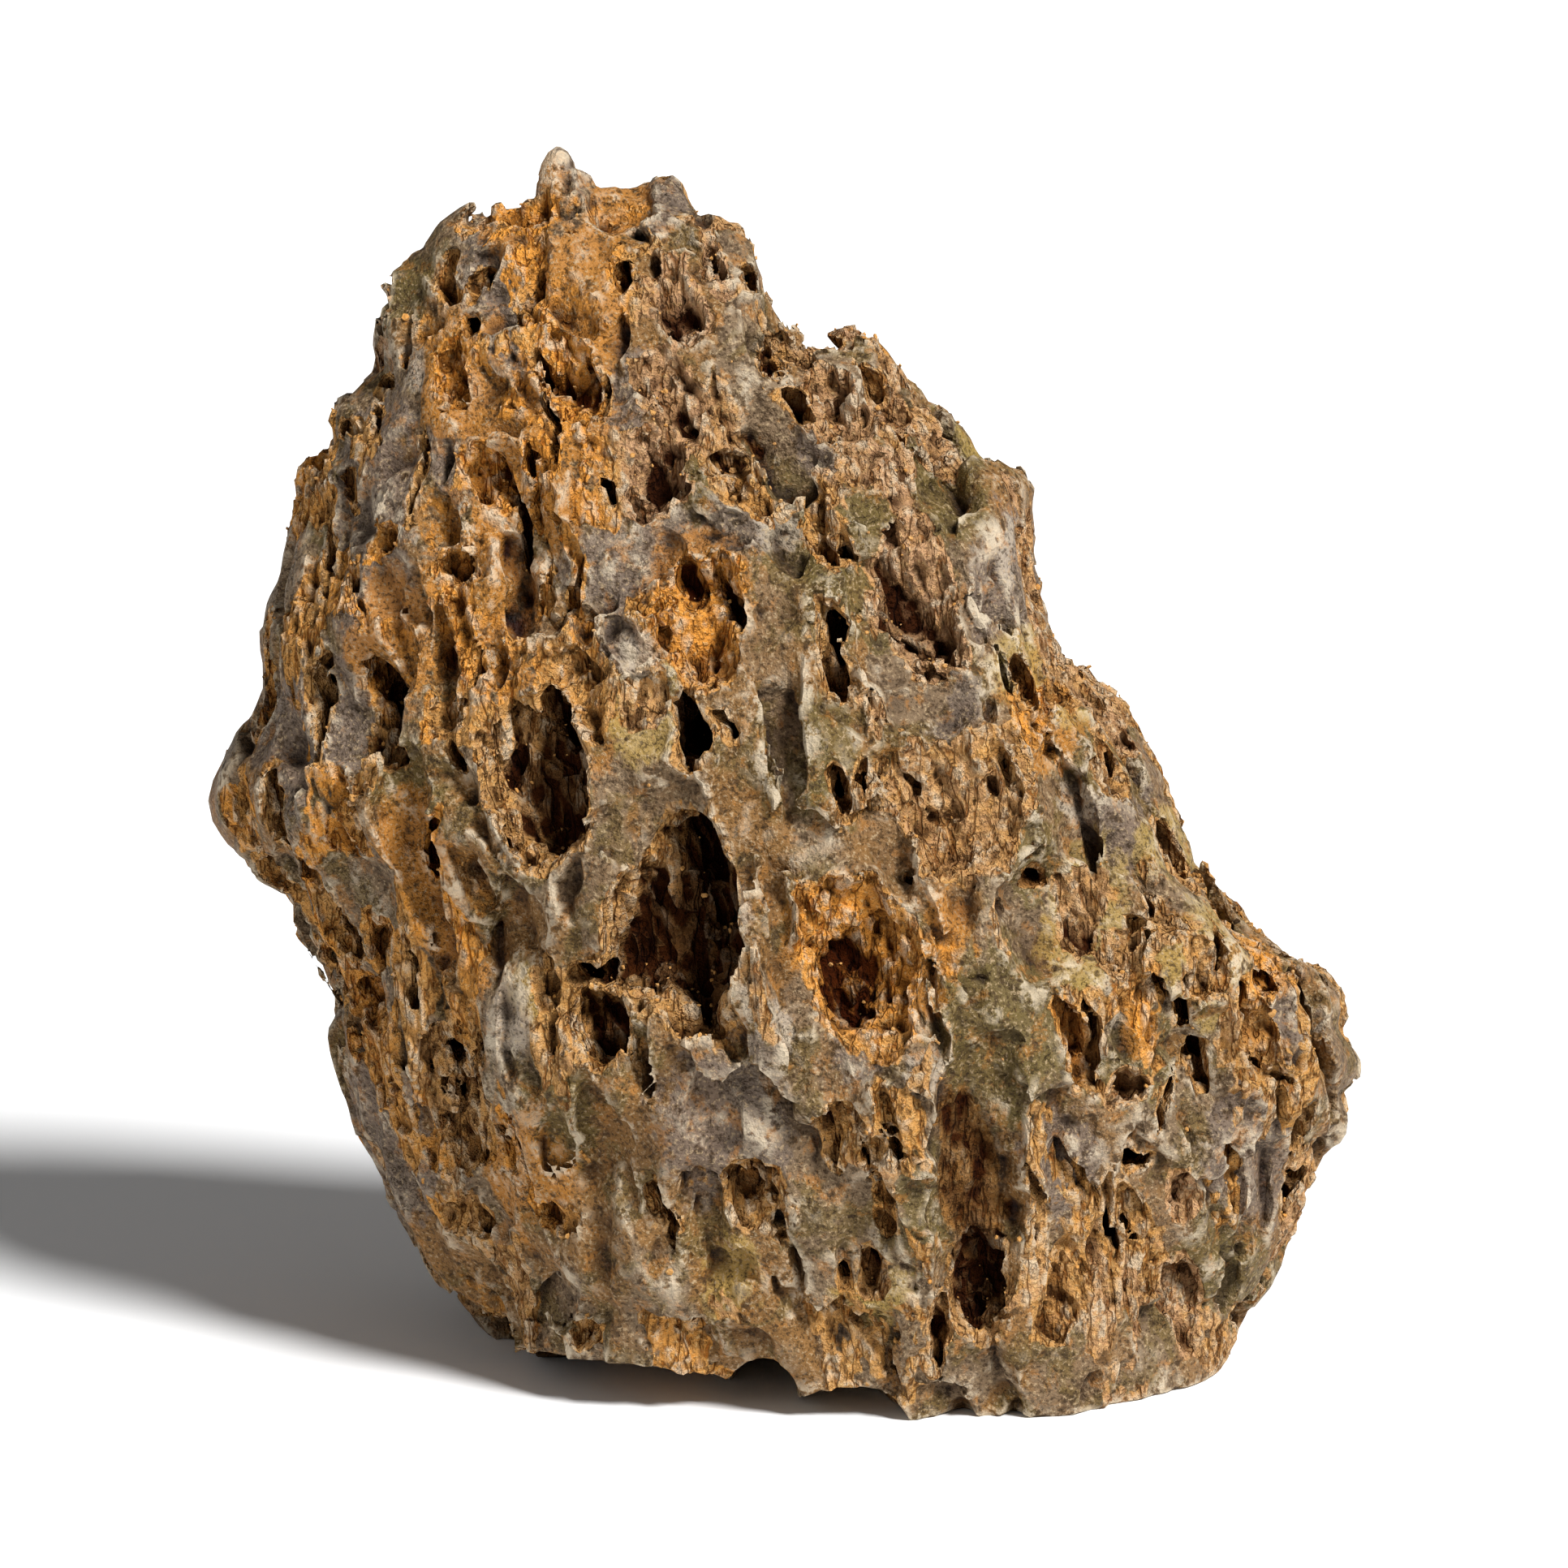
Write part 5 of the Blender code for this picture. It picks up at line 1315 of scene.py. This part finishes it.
def fine_height(nodes, fine, grain, pits, clay_share, cracks):
    """The relief finer than the mesh: rougher in the clay, and cut by the cracks."""
    lumps = nodes.noise(0.4, 3, 0.5)
    rough = nodes.math("ADD", nodes.math("MULTIPLY", lumps, 1.4), nodes.math("MULTIPLY", fine, 0.8))
    rough = nodes.math("SUBTRACT", rough, nodes.math("MULTIPLY", pits, 0.6))
    rough = nodes.math("ADD", rough, nodes.math("MULTIPLY", grain, 1.2))
    rough = nodes.math("SUBTRACT", rough, 1.6)
    even = nodes.math("ADD", nodes.math("MULTIPLY", lumps, 1.3), nodes.math("MULTIPLY", fine, 0.6))
    height = nodes.math("ADD", nodes.math("MULTIPLY", rough, clay_share), even)
    return nodes.math("SUBTRACT", height, nodes.math("MULTIPLY", cracks, 0.9))


def stone_material():
    """Smooth grey-brown skin, rough clay in the hollows, a painted highlight on the crests and painted
    shade in the depths.
    """
    nodes = Nodes("weathered mudstone")
    patches = nodes.noise(0.11, 5, 0.6, distortion=0.6)
    blotches = nodes.noise(0.24, 6, 0.68, distortion=0.3)
    spots = nodes.noise(0.5, 6, 0.62)
    fine = nodes.noise(1.5, 3, 0.6)
    grain = nodes.noise(0.6, 4, 0.6, place=nodes.leaned(0.32))
    pores = nodes.noise(1.25, 2, 0.5, place=nodes.leaned(0.45))
    pits = nodes.fit(pores, 0.44, 0.34)
    ragged = nodes.math("SUBTRACT", spots, 0.5)

    skin = skin_colour(nodes, patches, blotches, spots, fine, ragged)
    clay = clay_colour(nodes, clay_tone(nodes, ragged), grain, fine)
    # Painted shade: the pores, which the bump sinks, are darkened to brown.
    clay = nodes.mix(nodes.math("MULTIPLY", pits, 0.6), clay, CLAY_BROWN)
    clay_share = clay_cover(nodes, ragged)
    cracks = crack_lines(nodes, patches, clay_share)
    colour = shaded(nodes, nodes.mix(clay_share, skin, clay), spots, cracks)

    nodes.feed(nodes.shader.inputs["Base Color"], colour)
    nodes.feed(nodes.shader.inputs["Roughness"], nodes.fit(clay_share, 0, 1, 0.6, 0.93))
    shine = nodes.fit(clay_share, 0, 1, SKIN_SHINE, CLAY_SHINE)
    nodes.feed(nodes.shader.inputs["Specular IOR Level"], shine)
    nodes.bump(fine_height(nodes, fine, grain, pits, clay_share, cracks), 1.0)
    return nodes.material


def crumb_material():
    nodes = Nodes("clay crumbs")
    fine = nodes.noise(1.6, 4, 0.65)
    colour = clay_colour(nodes, nodes.noise(0.15, 2), nodes.noise(0.5, 2), fine)
    nodes.feed(nodes.shader.inputs["Base Color"], colour)
    nodes.feed(nodes.shader.inputs["Roughness"], 0.95)
    nodes.feed(nodes.shader.inputs["Specular IOR Level"], CLAY_SHINE)
    nodes.bump(fine, 0.5)
    return nodes.material


def add_piece(name, mesh, material):
    piece = bpy.data.objects.new(name, mesh)
    bpy.context.scene.collection.objects.link(piece)
    mesh.materials.append(material)
    mesh.shade_smooth()
    mesh.set_sharp_from_angle(angle=math.radians(CREASE_ANGLE))
    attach(piece, "root")
    return piece


def make_stone():
    """The stone and its crumbs. Gives where the stone's middle lay before it was centred."""
    points, quads, grids, balls = stone_surface()
    fine = mesh_from("fine surface", points, quads)
    normals = read(fine.vertices, "normal")
    clay, _, _, _ = finish_masks(points, normals, grids, balls)
    points = relief(points, normals, clay)
    middle = np.append((points.min(axis=0) + points.max(axis=0))[:2] / 2, 0)
    fine.vertices.foreach_set("co", (points * MM).astype(np.float32).ravel())
    mesh = decimated(fine, FACES_WANTED)
    bpy.data.meshes.remove(fine)
    mesh.name = "stone surface"

    points = read(mesh.vertices, "co") / MM
    normals = read(mesh.vertices, "normal")
    clay, tone, below, numbers = finish_masks(points, normals, grids, balls)
    edge, tight, wide, broad = (sampled(grids[name], points) - 0.5 for name in CROWDING)
    set_attribute(mesh, "clay", clay)
    set_attribute(mesh, "tone", tone)
    # Masks for painted light, from the share of solid round each point: a highlight on the crests, and
    # painted shade in grooves, cavities and deep places. What is deep is also covered with clay.
    set_attribute(mesh, "crest", np.clip((-edge - 0.08) / 0.09, 0, 1))
    set_attribute(mesh, "groove_shade", np.clip((tight - 0.07) / 0.2, 0, 0.85))
    set_attribute(mesh, "cavity", np.clip((wide - 0.08) / 0.26, 0, 1))
    enclosed, sunk = np.clip((broad - 0.19) / 0.2, 0, 1), np.clip((below - 6.5) / 6, 0, 0.85)
    set_attribute(mesh, "deep", np.maximum(enclosed, sunk))
    set_attribute(mesh, "plate", numbers[:, 5] * 0.5 + 0.5)
    for kind, mask in stain_masks(points, normals, numbers).items():
        set_attribute(mesh, kind, mask)
    weights = clay * (0.15 + np.clip(normals[:, 2] + 0.2, 0, 1)) * np.clip(points[:, 2] - 3, 0, 1)
    grains = crumbs(points, normals, weights, middle)

    mesh.transform(Matrix.Translation(-Vector(middle) * MM))
    stone = add_piece("weathered_surface", mesh, stone_material())
    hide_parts(NODE)
    add_piece("clay_crumbs", grains, crumb_material())
    return middle


def make_floor():
    bm = bmesh.new()
    bmesh.ops.create_grid(bm, x_segments=1, y_segments=1, size=FLOOR_SIZE / 2)
    mesh = bpy.data.meshes.new("floor")
    bm.to_mesh(mesh)
    bm.free()
    floor = bpy.data.objects.new("floor", mesh)
    bpy.context.scene.collection.objects.link(floor)
    material = bpy.data.materials.new("white floor")
    material.use_nodes = True
    shader = material.node_tree.nodes["Principled BSDF"]
    shader.inputs["Base Color"].default_value = grey(0.93)
    shader.inputs["Roughness"].default_value = 0.9
    mesh.materials.append(material)


def make_lights():
    for name, direction, strength, angle in LIGHTS:
        lamp = bpy.data.lights.new(name, "SUN")
        lamp.energy = strength
        lamp.angle = math.radians(angle)
        light = bpy.data.objects.new(name, lamp)
        light.rotation_euler = Vector(direction).to_track_quat("Z", "Y").to_euler()
        bpy.context.scene.collection.objects.link(light)
    world = bpy.data.worlds.new("soft sky")
    world.use_nodes = True
    background = world.node_tree.nodes["Background"]
    background.inputs["Color"].default_value = grey(1)
    background.inputs["Strength"].default_value = SKY_STRENGTH
    bpy.context.scene.world = world


def make_camera(middle):
    camera = bpy.data.cameras.new("camera")
    camera.lens = camera.sensor_width * EYE_DISTANCE / DRAWING_SIDE
    view = bpy.data.objects.new("camera", camera)
    view.location = Vector(EYE - middle) * MM
    view.rotation_euler = Vector(EYE_BACK).to_track_quat("Z", "Y").to_euler()
    bpy.context.scene.collection.objects.link(view)
    bpy.context.scene.camera = view


stone_middle = make_stone()
make_floor()
make_lights()
make_camera(stone_middle)
bpy.context.scene.view_settings.view_transform = "Standard"
